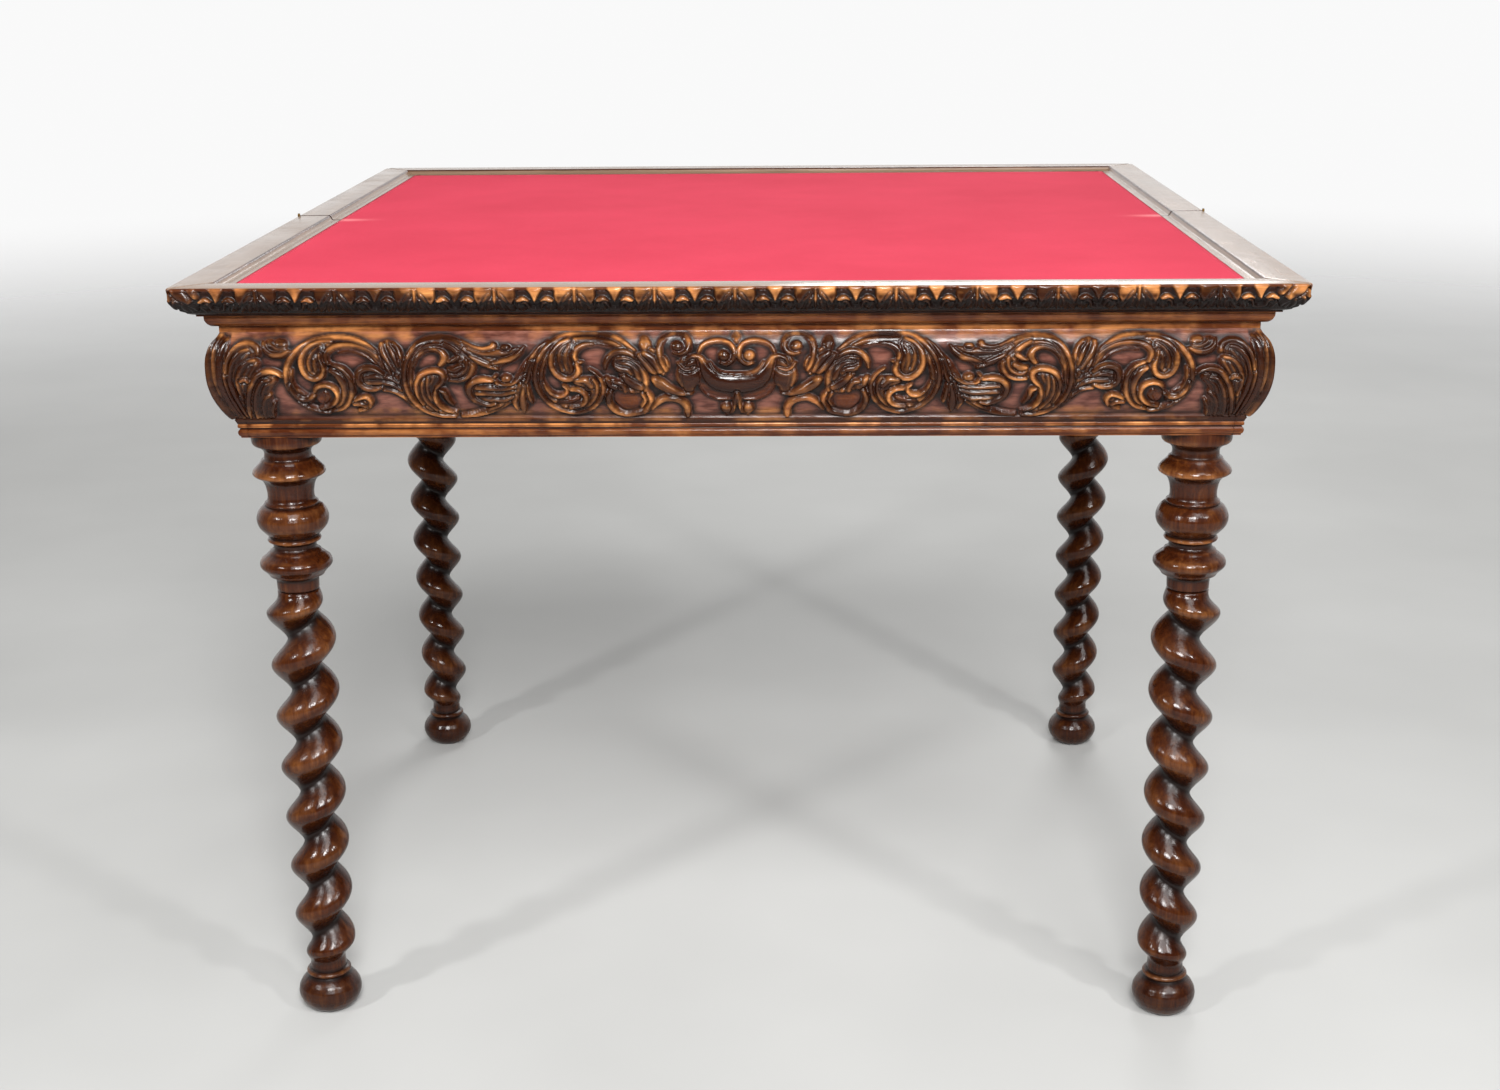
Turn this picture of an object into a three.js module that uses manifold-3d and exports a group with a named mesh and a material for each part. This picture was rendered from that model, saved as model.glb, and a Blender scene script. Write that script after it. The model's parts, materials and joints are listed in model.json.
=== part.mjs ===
// A flip-top games table in carved oak, in millimetres with +Z up.
// It stands open: the flip leaf lies behind the front leaf, held up by the drawn-out rear frame.
// The origin is on the floor under the middle of the open top, and the front faces -Y.
import * as THREE from "three";
import { mergeVertices } from "three/addons/utils/BufferGeometryUtils.js";
import Module from "manifold-3d";

const wasm = await Module();
wasm.setup();

// Table top
const topWidth = 1000;
const leafDepth = 500;
const tableHeight = 744;
const leafThickness = 28;
const leafJointGap = 0.5;
const leafUndercut = 21;
const edgeArris = 3;

// Rim and recess round the felt
const sideRimWidth = 34;
const endRimWidth = 30;
const rimOgeeWidth = 6;
const sideLedgeWidth = 7;
const endLedgeWidth = 11;
const recessDepth = 5;
const feltThickness = 1.2;
const feltEdgeGap = 0.3;

// Carved aprons and their mouldings
const fasciaInset = 36;
const bulgeInset = 23.5;
const apronFootInset = 43;
const frameInnerInset = 60;
const fasciaDepth = 17;
const friezeDepth = 86;
const bedMouldingInset = 26;
const bedMouldingDepth = 11;
const baseMouldingDepth = 13;
const baseReedInset = 45;
const sideApronSetback = 12;
const mitreGap = 0.4;

// Legs
const legInsetX = 78;
const frontLegInsetY = 78;
const rearLegReach = 295;
const legRadius = 34;
const twistRadius = 30.5;
const twistValleyRadius = 14;
const twistPitch = 53;
const turnedHeadHeight = 155;
const footHeight = 51;
const legTenonRadius = 11;
const legTenonLength = 60;
const tenonClearance = 0.3;
const legSides = 10;
const twistRingsPerTurn = 7;

// Blocks that the legs are dowelled into
const frontBlockSize = 49;
const rearBlockWidth = 49;
const rearBlockDepth = 56;

// Draw-out rear frame and its runners
const rearFrameClearance = 0.5;
const rearBlockSideClearance = 2;
const runnerThickness = 21;
const runnerHeight = 60;
const runnerFrontReach = 104;
const rearApronThickness = 20;
const rearApronHeight = 108;
const guideThickness = 22;
const guideHeight = 76;
const guideLipWidth = 10;
const guideSideClearance = 1;
const backRailThickness = 20;
const backRailSetback = 72;
const backRailRise = 2;
const pegRadius = 4;
const pegDrop = 14;
const pegSeatDepth = 12;
const pegEdgeDistance = 6;
const pegClearance = 0.3;

// Glue blocks
const glueBlockLeg = 22;
const glueBlockLength = 60;
const frontGlueBlockSpacing = 340;
const sideGlueBlockSetback = 250;

// Brass hinges let into the side edges
const hingeThickness = 2;
const hingeLength = 56;
const hingeHeight = 9;
const hingeTopDepth = 4;
const hingeAxisLift = 0.3;
const hingeEyeRadius = 2;
const hingePinRadius = 0.7;
const hingePinClearance = 0.3;
const hingeLapGap = 0.3;
const hingeTongueWidth = 1.7;
const hingeTongueGap = 0.2;
const hingeTongueReach = 4;
const hingeBodyStart = 3.2;
const hingePocketClearance = 0.3;
const hingeScrewNear = 17;
const hingeScrewFar = 45;

// Screws
const hingeScrewRadius = 1.3;
const hingeScrewHeadRadius = 2.4;
const hingeScrewLength = 14;
const guideScrewRadius = 2;
const guideScrewHeadRadius = 4.2;
const guideScrewHeadHeight = 3;
const guideScrewLength = 45;
const guideScrewBite = 14;
const guideScrewSetback = 60;
const screwTipLength = 3;
const screwClearance = 0.3;
const smallSides = 8;

// A cutter runs this far past the face that it opens, and vertices nearer than the weld are one.
const overrun = 1;
const weld = 1e-4;

// Places worked out from the sizes above
const halfWidth = topWidth / 2;
const leafUnderside = tableHeight - leafThickness;
const recessTop = tableHeight - recessDepth;
const feltBottom = recessTop - feltThickness;
const sideRailWidth = sideRimWidth + rimOgeeWidth + sideLedgeWidth;
const endRailWidth = endRimWidth + rimOgeeWidth + endLedgeWidth;
const jointY = leafJointGap / 2;
const apronBottom = leafUnderside - fasciaDepth - friezeDepth;
const frameBottom = apronBottom - baseMouldingDepth;
const innerX = halfWidth - frameInnerInset;
const innerY = leafDepth - frameInnerInset;
const frontLegX = halfWidth - legInsetX;
const frontLegY = leafDepth - frontLegInsetY;
const rearTop = leafUnderside - rearFrameClearance;
const rearBottom = frameBottom - rearFrameClearance;
const rearBlockOuterX = innerX - rearBlockSideClearance;
const rearBlockInnerX = rearBlockOuterX - rearBlockWidth;
const rearBlockBackY = rearLegReach + rearBlockDepth / 2;
const runnerBottom = rearTop - runnerHeight;
const runnerInnerX = rearBlockInnerX - runnerThickness;
const backRailTop = runnerBottom - rearFrameClearance;
const backRailFrontY = backRailSetback + backRailThickness;
const guideOuterX = runnerInnerX - guideSideClearance;
const guideInnerX = guideOuterX - guideThickness;
const guideBottom = leafUnderside - guideHeight;
const pegX = rearBlockInnerX - pegEdgeDistance;
const pegY = backRailFrontY + pegRadius + pegClearance;
const hingeAxisZ = tableHeight + hingeAxisLift;
const hingeTop = tableHeight - hingeTopDepth;
const hingeBottom = hingeTop - hingeHeight;
const hingeScrewZ = hingeBottom + hingeHeight / 2;
const pocketX = halfWidth - hingeThickness - hingePocketClearance;

// Outlines as shares of the sizes that they follow: across the width, then down the depth.
const leafEdgeShares = [
  [0, 0],
  [0, 0.33],
  [0.13, 0.52],
  [0.3, 0.65],
  [0.52, 0.78],
  [0.83, 0.89],
  [1, 0.94],
  [1, 1],
];
const rimOgeeShares = [
  [0, 0],
  [0.25, 0.12],
  [0.55, 0.75],
  [0.8, 1],
];
const bulgeShares = [
  [0.84, 0.04],
  [0.36, 0.12],
  [0.07, 0.24],
  [0, 0.38],
  [0.07, 0.54],
  [0.4, 0.73],
  [0.9, 0.88],
];
const bedMouldingShares = [
  [0, 0],
  [0, 0.23],
  [0.07, 0.45],
  [0.25, 0.82],
  [0.6, 1],
];
const baseMouldingShares = [
  [0.4, 0],
  [0, 0.1],
  [0, 0.2],
  [1, 0.33],
  [0.3, 0.45],
  [0, 0.6],
  [0.3, 0.78],
  [1, 0.9],
  [1, 1],
];

// The turned head from the top down and the foot from the floor up: height share, radius share.
const headShares = [
  [0, 0.95],
  [0.08, 0.95],
  [0.125, 0.8],
  [0.135, 0.66],
  [0.17, 0.64],
  [0.18, 0.77],
  [0.245, 0.99],
  [0.3, 0.82],
  [0.32, 0.69],
  [0.4, 0.645],
  [0.465, 0.69],
  [0.485, 0.81],
  [0.56, 0.99],
  [0.65, 0.83],
  [0.705, 0.7],
  [0.72, 0.57],
  [0.755, 0.57],
  [0.775, 0.8],
  [0.84, 1],
  [0.885, 0.86],
  [0.92, 0.7],
  [0.93, 0.58],
  [1, 0.58],
];
const footShares = [
  [0, 0.56],
  [0.06, 0.7],
  [0.2, 0.88],
  [0.34, 0.92],
  [0.5, 0.86],
  [0.64, 0.66],
  [0.78, 0.65],
  [0.82, 0.5],
  [1, 0.5],
];
const twistRampShare = 0.5;
const twistStartShare = 0.4755;

// Finishes
const oak = new THREE.MeshStandardMaterial({ color: 0x5a2c14, roughness: 0.35, metalness: 0 });
const innerOak = new THREE.MeshStandardMaterial({ color: 0x7a5232, roughness: 0.7, metalness: 0 });
const redFelt = new THREE.MeshStandardMaterial({ color: 0xc4122f, roughness: 0.95, metalness: 0 });
const brass = new THREE.MeshStandardMaterial({ color: 0xb08a3c, roughness: 0.4, metalness: 1 });
const steel = new THREE.MeshStandardMaterial({ color: 0x6f7072, roughness: 0.5, metalness: 1 });

// Directions that a drawn outline's right, its up and its run take in the table's frame
const axisX = new THREE.Vector3(1, 0, 0);
const axisY = new THREE.Vector3(0, 1, 0);
const axisZ = new THREE.Vector3(0, 0, 1);
const alongX = new THREE.Matrix4().makeBasis(axisY, axisZ, axisX);
const alongY = new THREE.Matrix4().makeBasis(axisX.clone().negate(), axisZ, axisY);
const alongZ = new THREE.Matrix4();

// A closed prism: the outline drawn across its run, from one end to the other.
function prism(points, from, to, basis) {
  const shape = new THREE.Shape(points.map(([x, y]) => new THREE.Vector2(x, y)));
  const geometry = new THREE.ExtrudeGeometry(shape, { depth: to - from, bevelEnabled: false });
  return geometry.translate(0, 0, from).applyMatrix4(basis);
}

// A box between its lowest and its highest corner.
function box(low, high) {
  const size = high.map((value, i) => value - low[i]);
  const middle = high.map((value, i) => (value + low[i]) / 2);
  return new THREE.BoxGeometry(...size).translate(...middle);
}

// A turned piece on the Z axis from radius and height pairs, which start and end on the axis.
function turned(profile, sides) {
  const points = profile.map(([radius, height]) => new THREE.Vector2(radius, height));
  const upright = new THREE.Matrix4().makeBasis(axisX, axisZ, axisY.clone().negate());
  return new THREE.LatheGeometry(points, sides).applyMatrix4(upright);
}

function rod(radius, from, to, sides) {
  return turned([[0, from], [radius, from], [radius, to], [0, to]], sides);
}

// Boolean cuts and joins
function solidOf(geometry) {
  const bare = geometry.index ? geometry.toNonIndexed() : geometry.clone();
  bare.deleteAttribute("normal");
  bare.deleteAttribute("uv");
  const merged = mergeVertices(bare, weld);
  const vertProperties = merged.attributes.position.array;
  const triVerts = new Uint32Array(merged.index.array);
  return new wasm.Manifold(new wasm.Mesh({ numProp: 3, vertProperties, triVerts }));
}

function geometryOf(solid) {
  const { vertProperties, triVerts } = solid.getMesh();
  const geometry = new THREE.BufferGeometry();
  geometry.setAttribute("position", new THREE.BufferAttribute(vertProperties, 3));
  geometry.setIndex(new THREE.BufferAttribute(triVerts, 1));
  return geometry;
}

function cut(body, ...cutters) {
  const left = cutters.reduce((solid, cutter) => solid.subtract(solidOf(cutter)), solidOf(body));
  return geometryOf(left);
}

function join(first, second) {
  return geometryOf(solidOf(first).add(solidOf(second)));
}

function common(first, second) {
  return geometryOf(solidOf(first).intersect(solidOf(second)));
}

// Mouldings run round the front and the sides and meet in mitres at the front corners.
// An outline point is its inset from the top's outer edge and its depth below the top's surface.
function frontRun(profile, reach) {
  const points = profile.map(([inset, depth]) => [-leafDepth + inset, tableHeight - depth]);
  const straight = prism(points, -halfWidth, halfWidth, alongX);
  const near = halfWidth - mitreGap + overrun;
  const far = halfWidth - mitreGap - reach;
  const plan = [
    [-near, -leafDepth - overrun],
    [near, -leafDepth - overrun],
    [far, -leafDepth + reach],
    [-far, -leafDepth + reach],
  ];
  return common(straight, prism(plan, frameBottom - overrun, tableHeight + overrun, alongZ));
}

function leftRun(profile, reach, width, endY) {
  const points = profile.map(([inset, depth]) => [halfWidth - inset, tableHeight - depth]);
  const straight = prism(points, -leafDepth, endY, alongY);
  const plan = [
    [-halfWidth - overrun, -leafDepth - overrun],
    [-halfWidth + reach, -leafDepth + reach],
    [-halfWidth + width + overrun, -leafDepth + reach],
    [-halfWidth + width + overrun, endY + overrun],
    [-halfWidth - overrun, endY + overrun],
  ];
  return common(straight, prism(plan, frameBottom - overrun, tableHeight + overrun, alongZ));
}

// Leaf rails: the moulded edge outside, then the rim, its ogee and the ledge that the felt meets
function railProfile(rimWidth, railWidth) {
  const edge = leafEdgeShares.map(([across, down]) => [
    across * leafUndercut,
    edgeArris + down * (leafThickness - edgeArris),
  ]);
  const ogee = rimOgeeShares.map(([across, down]) => [
    rimWidth + across * rimOgeeWidth,
    down * recessDepth,
  ]);
  return [[edgeArris, 0], ...edge, [railWidth, leafThickness], [railWidth, recessDepth], ...ogee.reverse()];
}

function endRail() {
  return frontRun(railProfile(endRimWidth, endRailWidth), endRailWidth);
}

function hingeScrewPlaces() {
  return [-hingeScrewNear, -hingeScrewFar];
}

// A tool or a screw on the left side edge, whose own +Z points in from the edge.
function inFromLeftEdge(geometry, y) {
  const inward = new THREE.Matrix4().makeBasis(axisY, axisZ, axisX);
  return geometry.applyMatrix4(inward).translate(-halfWidth, y, hingeScrewZ);
}

function sideRail() {
  const profile = railProfile(sideRimWidth, sideRailWidth);
  const rail = leftRun(profile, endRailWidth, sideRailWidth, -jointY);
  const pocket = box(
    [-halfWidth - overrun, -hingeLength - hingePocketClearance, hingeBottom - hingePocketClearance],
    [-pocketX, 0, hingeTop + hingePocketClearance],
  );
  const notch = box(
    [-halfWidth - overrun, -hingeTongueReach - hingePocketClearance, hingeBottom],
    [-pocketX, 0, tableHeight + overrun],
  );
  const pilots = hingeScrewPlaces().map((y) =>
    inFromLeftEdge(
      rod(hingeScrewRadius + screwClearance, 0, hingeScrewLength + screwClearance, smallSides),
      y,
    ),
  );
  return cut(rail, pocket, notch, ...pilots);
}

function guideScrewPlaces() {
  return [-innerY + guideScrewSetback, -backRailFrontY - guideScrewSetback];
}

function leafPanel(screwed) {
  const low = [-halfWidth + sideRailWidth, -leafDepth + endRailWidth, leafUnderside];
  const high = [halfWidth - sideRailWidth, -jointY, feltBottom];
  const panel = box(low, high);
  if (!screwed) return panel;
  const x = (guideInnerX + guideOuterX) / 2;
  const pilots = guideScrewPlaces().flatMap((y) =>
    [-x, x].map((side) =>
      rod(
        guideScrewRadius + screwClearance,
        leafUnderside - overrun,
        leafUnderside + guideScrewBite + screwClearance,
        smallSides,
      ).translate(side, y, 0),
    ),
  );
  return cut(panel, ...pilots);
}

function leafFelt() {
  return box(
    [-halfWidth + sideRailWidth + feltEdgeGap, -leafDepth + endRailWidth + feltEdgeGap, feltBottom],
    [halfWidth - sideRailWidth - feltEdgeGap, -jointY, recessTop],
  );
}

// Carved aprons: a plain fascia over a bulging frieze
function apronProfile() {
  const bulge = bulgeShares.map(([across, down]) => [
    bulgeInset + across * (fasciaInset - bulgeInset),
    leafThickness + fasciaDepth + down * friezeDepth,
  ]);
  return [
    [frameInnerInset, leafThickness],
    [fasciaInset, leafThickness],
    [fasciaInset, leafThickness + fasciaDepth],
    ...bulge,
    [apronFootInset, leafThickness + fasciaDepth + friezeDepth],
    [frameInnerInset, leafThickness + fasciaDepth + friezeDepth],
  ];
}

function bedMouldingProfile() {
  const face = bedMouldingShares.map(([across, down]) => [
    bedMouldingInset + across * (fasciaInset - bedMouldingInset),
    leafThickness + down * bedMouldingDepth,
  ]);
  return [[fasciaInset, leafThickness], ...face, [fasciaInset, leafThickness + bedMouldingDepth]];
}

function baseMouldingProfile() {
  const top = tableHeight - apronBottom;
  const face = baseMouldingShares.map(([across, down]) => [
    apronFootInset + across * (baseReedInset - apronFootInset),
    top + down * baseMouldingDepth,
  ]);
  return [[frameInnerInset, top], ...face, [frameInnerInset, top + baseMouldingDepth]];
}

// Legs: rings of points stacked from the foot up, closed by a point in the middle of each end
function stacked(rings) {
  const count = rings[0].length;
  const last = rings.length - 1;
  const middle = (ring) =>
    ring.reduce((sum, point) => sum.add(point), new THREE.Vector3()).divideScalar(count);
  const points = [...rings.flat(), middle(rings[0]), middle(rings[last])];
  const index = [];
  for (let level = 0; level < last; level++) {
    for (let side = 0; side < count; side++) {
      const next = (side + 1) % count;
      const a = level * count + side;
      const b = level * count + next;
      index.push(a, b, b + count, a, b + count, a + count);
    }
  }
  for (let side = 0; side < count; side++) {
    const next = (side + 1) % count;
    index.push(rings.length * count, next, side);
    index.push(rings.length * count + 1, last * count + side, last * count + next);
  }
  const geometry = new THREE.BufferGeometry().setFromPoints(points);
  return geometry.setIndex(index);
}

function legRing(radius, height, offset, turn) {
  return Array.from({ length: legSides }, (unused, side) => {
    const angle = (side / legSides) * 2 * Math.PI - Math.PI / 2;
    return new THREE.Vector3(
      offset * Math.cos(turn) + radius * Math.cos(angle),
      offset * Math.sin(turn) + radius * Math.sin(angle),
      height,
    );
  });
}

// The barley twist is a round section whose middle climbs a helix, eased in at both ends.
function twistRings(bottom, top, hand) {
  const neck = headShares.at(-1)[1] * legRadius;
  const sectionRadius = (twistRadius + twistValleyRadius) / 2;
  const offset = (twistRadius - twistValleyRadius) / 2;
  const steps = Math.round(((top - bottom) / twistPitch) * twistRingsPerTurn);
  const rings = [];
  for (let step = 1; step < steps; step++) {
    const height = bottom + (step / steps) * (top - bottom);
    const fromEnd = Math.min(height - bottom, top - height);
    const ease = Math.min(1, fromEnd / (twistRampShare * twistPitch));
    const turn = Math.PI + (2 * Math.PI * (height - top)) / twistPitch;
    const radius = neck + ease * (sectionRadius - neck);
    rings.push(legRing(radius, height, ease * offset, hand * (turn + 2 * Math.PI * twistStartShare)));
  }
  return rings;
}

function leg(height, hand) {
  const foot = footShares.map(([up, out]) => legRing(out * legRadius, up * footHeight, 0, 0));
  const headBottom = height - turnedHeadHeight;
  const head = headShares
    .map(([down, out]) => legRing(out * legRadius, height - down * turnedHeadHeight, 0, 0))
    .reverse();
  const tenon = [height, height + legTenonLength].map((z) => legRing(legTenonRadius, z, 0, 0));
  return stacked([...foot, ...twistRings(footHeight, headBottom, hand), ...head, ...tenon]);
}

function mortise(x, y, bottom) {
  const top = bottom + legTenonLength + tenonClearance;
  return rod(legTenonRadius + tenonClearance, bottom - overrun, top, legSides).translate(x, y, 0);
}

function frontBlock() {
  const block = box(
    [-innerX, -innerY, frameBottom],
    [-innerX + frontBlockSize, -innerY + frontBlockSize, leafUnderside],
  );
  return cut(block, mortise(-frontLegX, -frontLegY, frameBottom));
}

// Draw-out frame
function rearBlock() {
  const block = box(
    [-rearBlockOuterX, rearBlockBackY - rearBlockDepth, rearBottom],
    [-rearBlockInnerX, rearBlockBackY, rearTop],
  );
  return cut(block, mortise(-frontLegX, rearLegReach, rearBottom));
}

function runner() {
  const rail = box(
    [-rearBlockInnerX, -runnerFrontReach, runnerBottom],
    [-runnerInnerX, rearBlockBackY, rearTop],
  );
  const seat = rod(
    pegRadius + pegClearance,
    runnerBottom - overrun,
    runnerBottom + pegSeatDepth + pegClearance,
    smallSides,
  );
  return cut(rail, seat.translate(-pegX, -pegY, 0));
}

function stopPeg() {
  const peg = rod(pegRadius, runnerBottom - pegDrop, runnerBottom + pegSeatDepth, smallSides);
  return peg.translate(-pegX, -pegY, 0);
}

function rearApron() {
  return box(
    [-runnerInnerX, rearBlockBackY - rearApronThickness, rearTop - rearApronHeight],
    [runnerInnerX, rearBlockBackY, rearTop],
  );
}

// Fixed bearers that the runners slide on
function runnerGuide() {
  const lipTop = backRailTop;
  const section = [
    [guideInnerX, guideBottom],
    [guideOuterX + guideLipWidth, guideBottom],
    [guideOuterX + guideLipWidth, lipTop],
    [guideOuterX, lipTop],
    [guideOuterX, leafUnderside],
    [guideInnerX, leafUnderside],
  ];
  const bearer = prism(section, -innerY, -backRailFrontY, alongY);
  const x = -(guideInnerX + guideOuterX) / 2;
  const headSeat = leafUnderside + guideScrewBite - guideScrewLength;
  const holes = guideScrewPlaces().flatMap((y) => [
    rod(guideScrewRadius + screwClearance, guideBottom, leafUnderside + overrun, smallSides),
    rod(guideScrewHeadRadius + screwClearance, guideBottom - overrun, headSeat, smallSides),
  ].map((hole) => hole.translate(x, y, 0)));
  return cut(bearer, ...holes);
}

function guideScrew(y) {
  const tip = leafUnderside + guideScrewBite;
  const seat = tip - guideScrewLength;
  const profile = [
    [0, seat - guideScrewHeadHeight],
    [guideScrewHeadRadius, seat - guideScrewHeadHeight],
    [guideScrewHeadRadius, seat],
    [guideScrewRadius, seat],
    [guideScrewRadius, tip - screwTipLength],
    [0, tip],
  ];
  return turned(profile, smallSides).translate(-(guideInnerX + guideOuterX) / 2, y, 0);
}

function backRail() {
  return box(
    [-innerX, -backRailFrontY, frameBottom + backRailRise],
    [innerX, -backRailSetback, backRailTop],
  );
}

// Glue blocks fill the corner under the leaf behind each apron.
function frontGlueBlock() {
  const section = [
    [-innerY, leafUnderside],
    [-innerY, leafUnderside - glueBlockLeg],
    [-innerY + glueBlockLeg, leafUnderside],
  ];
  const middle = -frontGlueBlockSpacing / 2;
  return prism(section, middle - glueBlockLength / 2, middle + glueBlockLength / 2, alongX);
}

function sideGlueBlock() {
  const section = [
    [innerX, leafUnderside],
    [innerX, leafUnderside - glueBlockLeg],
    [innerX - glueBlockLeg, leafUnderside],
  ];
  const middle = -sideGlueBlockSetback;
  return prism(section, middle - glueBlockLength / 2, middle + glueBlockLength / 2, alongY);
}

// A hinge half is a plate let into the side edge, and a thin tongue that ends in the eye.
// The two tongues lie side by side, so the eyes turn on one pin at the level of the top.
function hingeHalf(tongueIsOuter) {
  const outer = -halfWidth;
  const inner = outer + hingeThickness;
  const middle = outer + hingeThickness / 2;
  const from = tongueIsOuter ? outer : middle + hingeLapGap / 2;
  const to = tongueIsOuter ? middle - hingeLapGap / 2 : inner;
  const plate = box([outer, -hingeLength, hingeBottom], [inner, -hingeBodyStart, hingeTop]);
  const foot = box([from, -hingeTongueReach, hingeBottom], [to, -hingeTongueGap, hingeTop]);
  const tongue = box(
    [from, -hingeTongueGap - hingeTongueWidth, hingeTop - hingeTopDepth],
    [to, -hingeTongueGap, hingeAxisZ],
  );
  const acrossX = new THREE.Matrix4().makeBasis(axisY, axisZ, axisX);
  const eye = rod(hingeEyeRadius, from, to, smallSides).applyMatrix4(acrossX);
  const pinHole = rod(hingePinRadius + hingePinClearance, outer - overrun, inner + overrun, smallSides);
  const whole = [foot, tongue, eye.translate(0, 0, hingeAxisZ)].reduce(join, plate);
  const sinks = hingeScrewPlaces().map((y) =>
    inFromLeftEdge(
      turned(
        [
          [0, -overrun],
          [hingeScrewHeadRadius + screwClearance, -overrun],
          [hingeScrewHeadRadius + screwClearance, 0],
          [hingeScrewRadius + screwClearance, hingeThickness],
          [hingeScrewRadius + screwClearance, hingeThickness + overrun],
          [0, hingeThickness + overrun],
        ],
        smallSides,
      ),
      y,
    ),
  );
  return cut(whole, pinHole.applyMatrix4(acrossX).translate(0, 0, hingeAxisZ), ...sinks);
}

function hingePin() {
  const acrossX = new THREE.Matrix4().makeBasis(axisY, axisZ, axisX);
  const pin = rod(hingePinRadius, -halfWidth, -halfWidth + hingeThickness, smallSides);
  return pin.applyMatrix4(acrossX).translate(0, 0, hingeAxisZ);
}

function hingeScrew(y) {
  const profile = [
    [0, 0],
    [hingeScrewHeadRadius, 0],
    [hingeScrewRadius, hingeThickness],
    [hingeScrewRadius, hingeScrewLength - screwTipLength],
    [0, hingeScrewLength],
  ];
  return inFromLeftEdge(turned(profile, smallSides), y);
}

// The assembly: left-hand pieces are drawn once, and the right side mirrors them.
const table = new THREE.Group();

function piece(name, geometry, material, parent) {
  const mesh = new THREE.Mesh(geometry, material);
  mesh.name = name;
  parent.add(mesh);
}

function mirrored(x, y) {
  const group = new THREE.Group();
  group.scale.set(x, y, 1);
  table.add(group);
  return group;
}

const sides = [
  ["left", 1],
  ["right", -1],
];

// Front leaf and flip leaf: the second is the first turned end for end.
const leaves = [
  { leaf: "front_leaf", end: "front", half: "fixed", facing: 1 },
  { leaf: "flip_leaf", end: "back", half: "moving", facing: -1 },
];
for (const { leaf, end, half, facing } of leaves) {
  const whole = mirrored(1, facing);
  piece(`${leaf}_panel`, leafPanel(facing === 1), oak, whole);
  piece(`${leaf}_${end}_rail`, endRail(), oak, whole);
  piece(`${leaf}_felt`, leafFelt(), redFelt, whole);
  for (const [side, hand] of sides) {
    const corner = mirrored(hand, facing);
    piece(`${leaf}_side_rail_${side}`, sideRail(), oak, corner);
    piece(`hinge_${half}_half_${side}`, hingeHalf(half === "moving"), brass, corner);
    hingeScrewPlaces().forEach((y, order) => {
      piece(`hinge_${half}_screw_${side}_${order + 1}`, hingeScrew(y), brass, corner);
    });
  }
}

// Fixed frame across the front
piece("front_apron", frontRun(apronProfile(), frameInnerInset), oak, table);
piece("front_bed_moulding", frontRun(bedMouldingProfile(), fasciaInset), oak, table);
piece("front_base_moulding", frontRun(baseMouldingProfile(), frameInnerInset), oak, table);
piece("back_rail", backRail(), innerOak, table);
piece("rear_apron", rearApron(), oak, table);

for (const [side, hand] of sides) {
  const half = mirrored(hand, 1);
  const runs = [
    ["apron", apronProfile(), frameInnerInset],
    ["bed_moulding", bedMouldingProfile(), fasciaInset],
    ["base_moulding", baseMouldingProfile(), frameInnerInset],
  ];
  for (const [kind, profile, reach] of runs) {
    piece(`side_${kind}_${side}`, leftRun(profile, reach, reach, -sideApronSetback), oak, half);
  }

  const frontLeg = leg(frameBottom, 1).translate(-frontLegX, -frontLegY, 0);
  const rearLeg = leg(rearBottom, -1).translate(-frontLegX, rearLegReach, 0);
  piece(`front_leg_${side}`, frontLeg, oak, half);
  piece(`rear_leg_${side}`, rearLeg, oak, half);
  piece(`front_leg_block_${side}`, frontBlock(), innerOak, half);
  piece(`rear_leg_block_${side}`, rearBlock(), innerOak, half);

  piece(`runner_${side}`, runner(), innerOak, half);
  piece(`stop_peg_${side}`, stopPeg(), innerOak, half);
  piece(`runner_guide_${side}`, runnerGuide(), innerOak, half);
  guideScrewPlaces().forEach((y, order) => {
    piece(`guide_screw_${side}_${order + 1}`, guideScrew(y), steel, half);
  });
  piece(`glue_block_front_${side}`, frontGlueBlock(), innerOak, half);
  piece(`glue_block_side_${side}`, sideGlueBlock(), innerOak, half);
  piece(`hinge_pin_${side}`, hingePin(), brass, half);
}

export default table;
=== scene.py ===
# The dressed look of a flip-top games table: carved, stained and varnished oak, barley-twist legs, red baize.
# It stands open on a pale studio floor and is seen from the front, a little above the top.
import json
import math

import bpy
import numpy as np
from mathutils import Matrix, Vector


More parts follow.
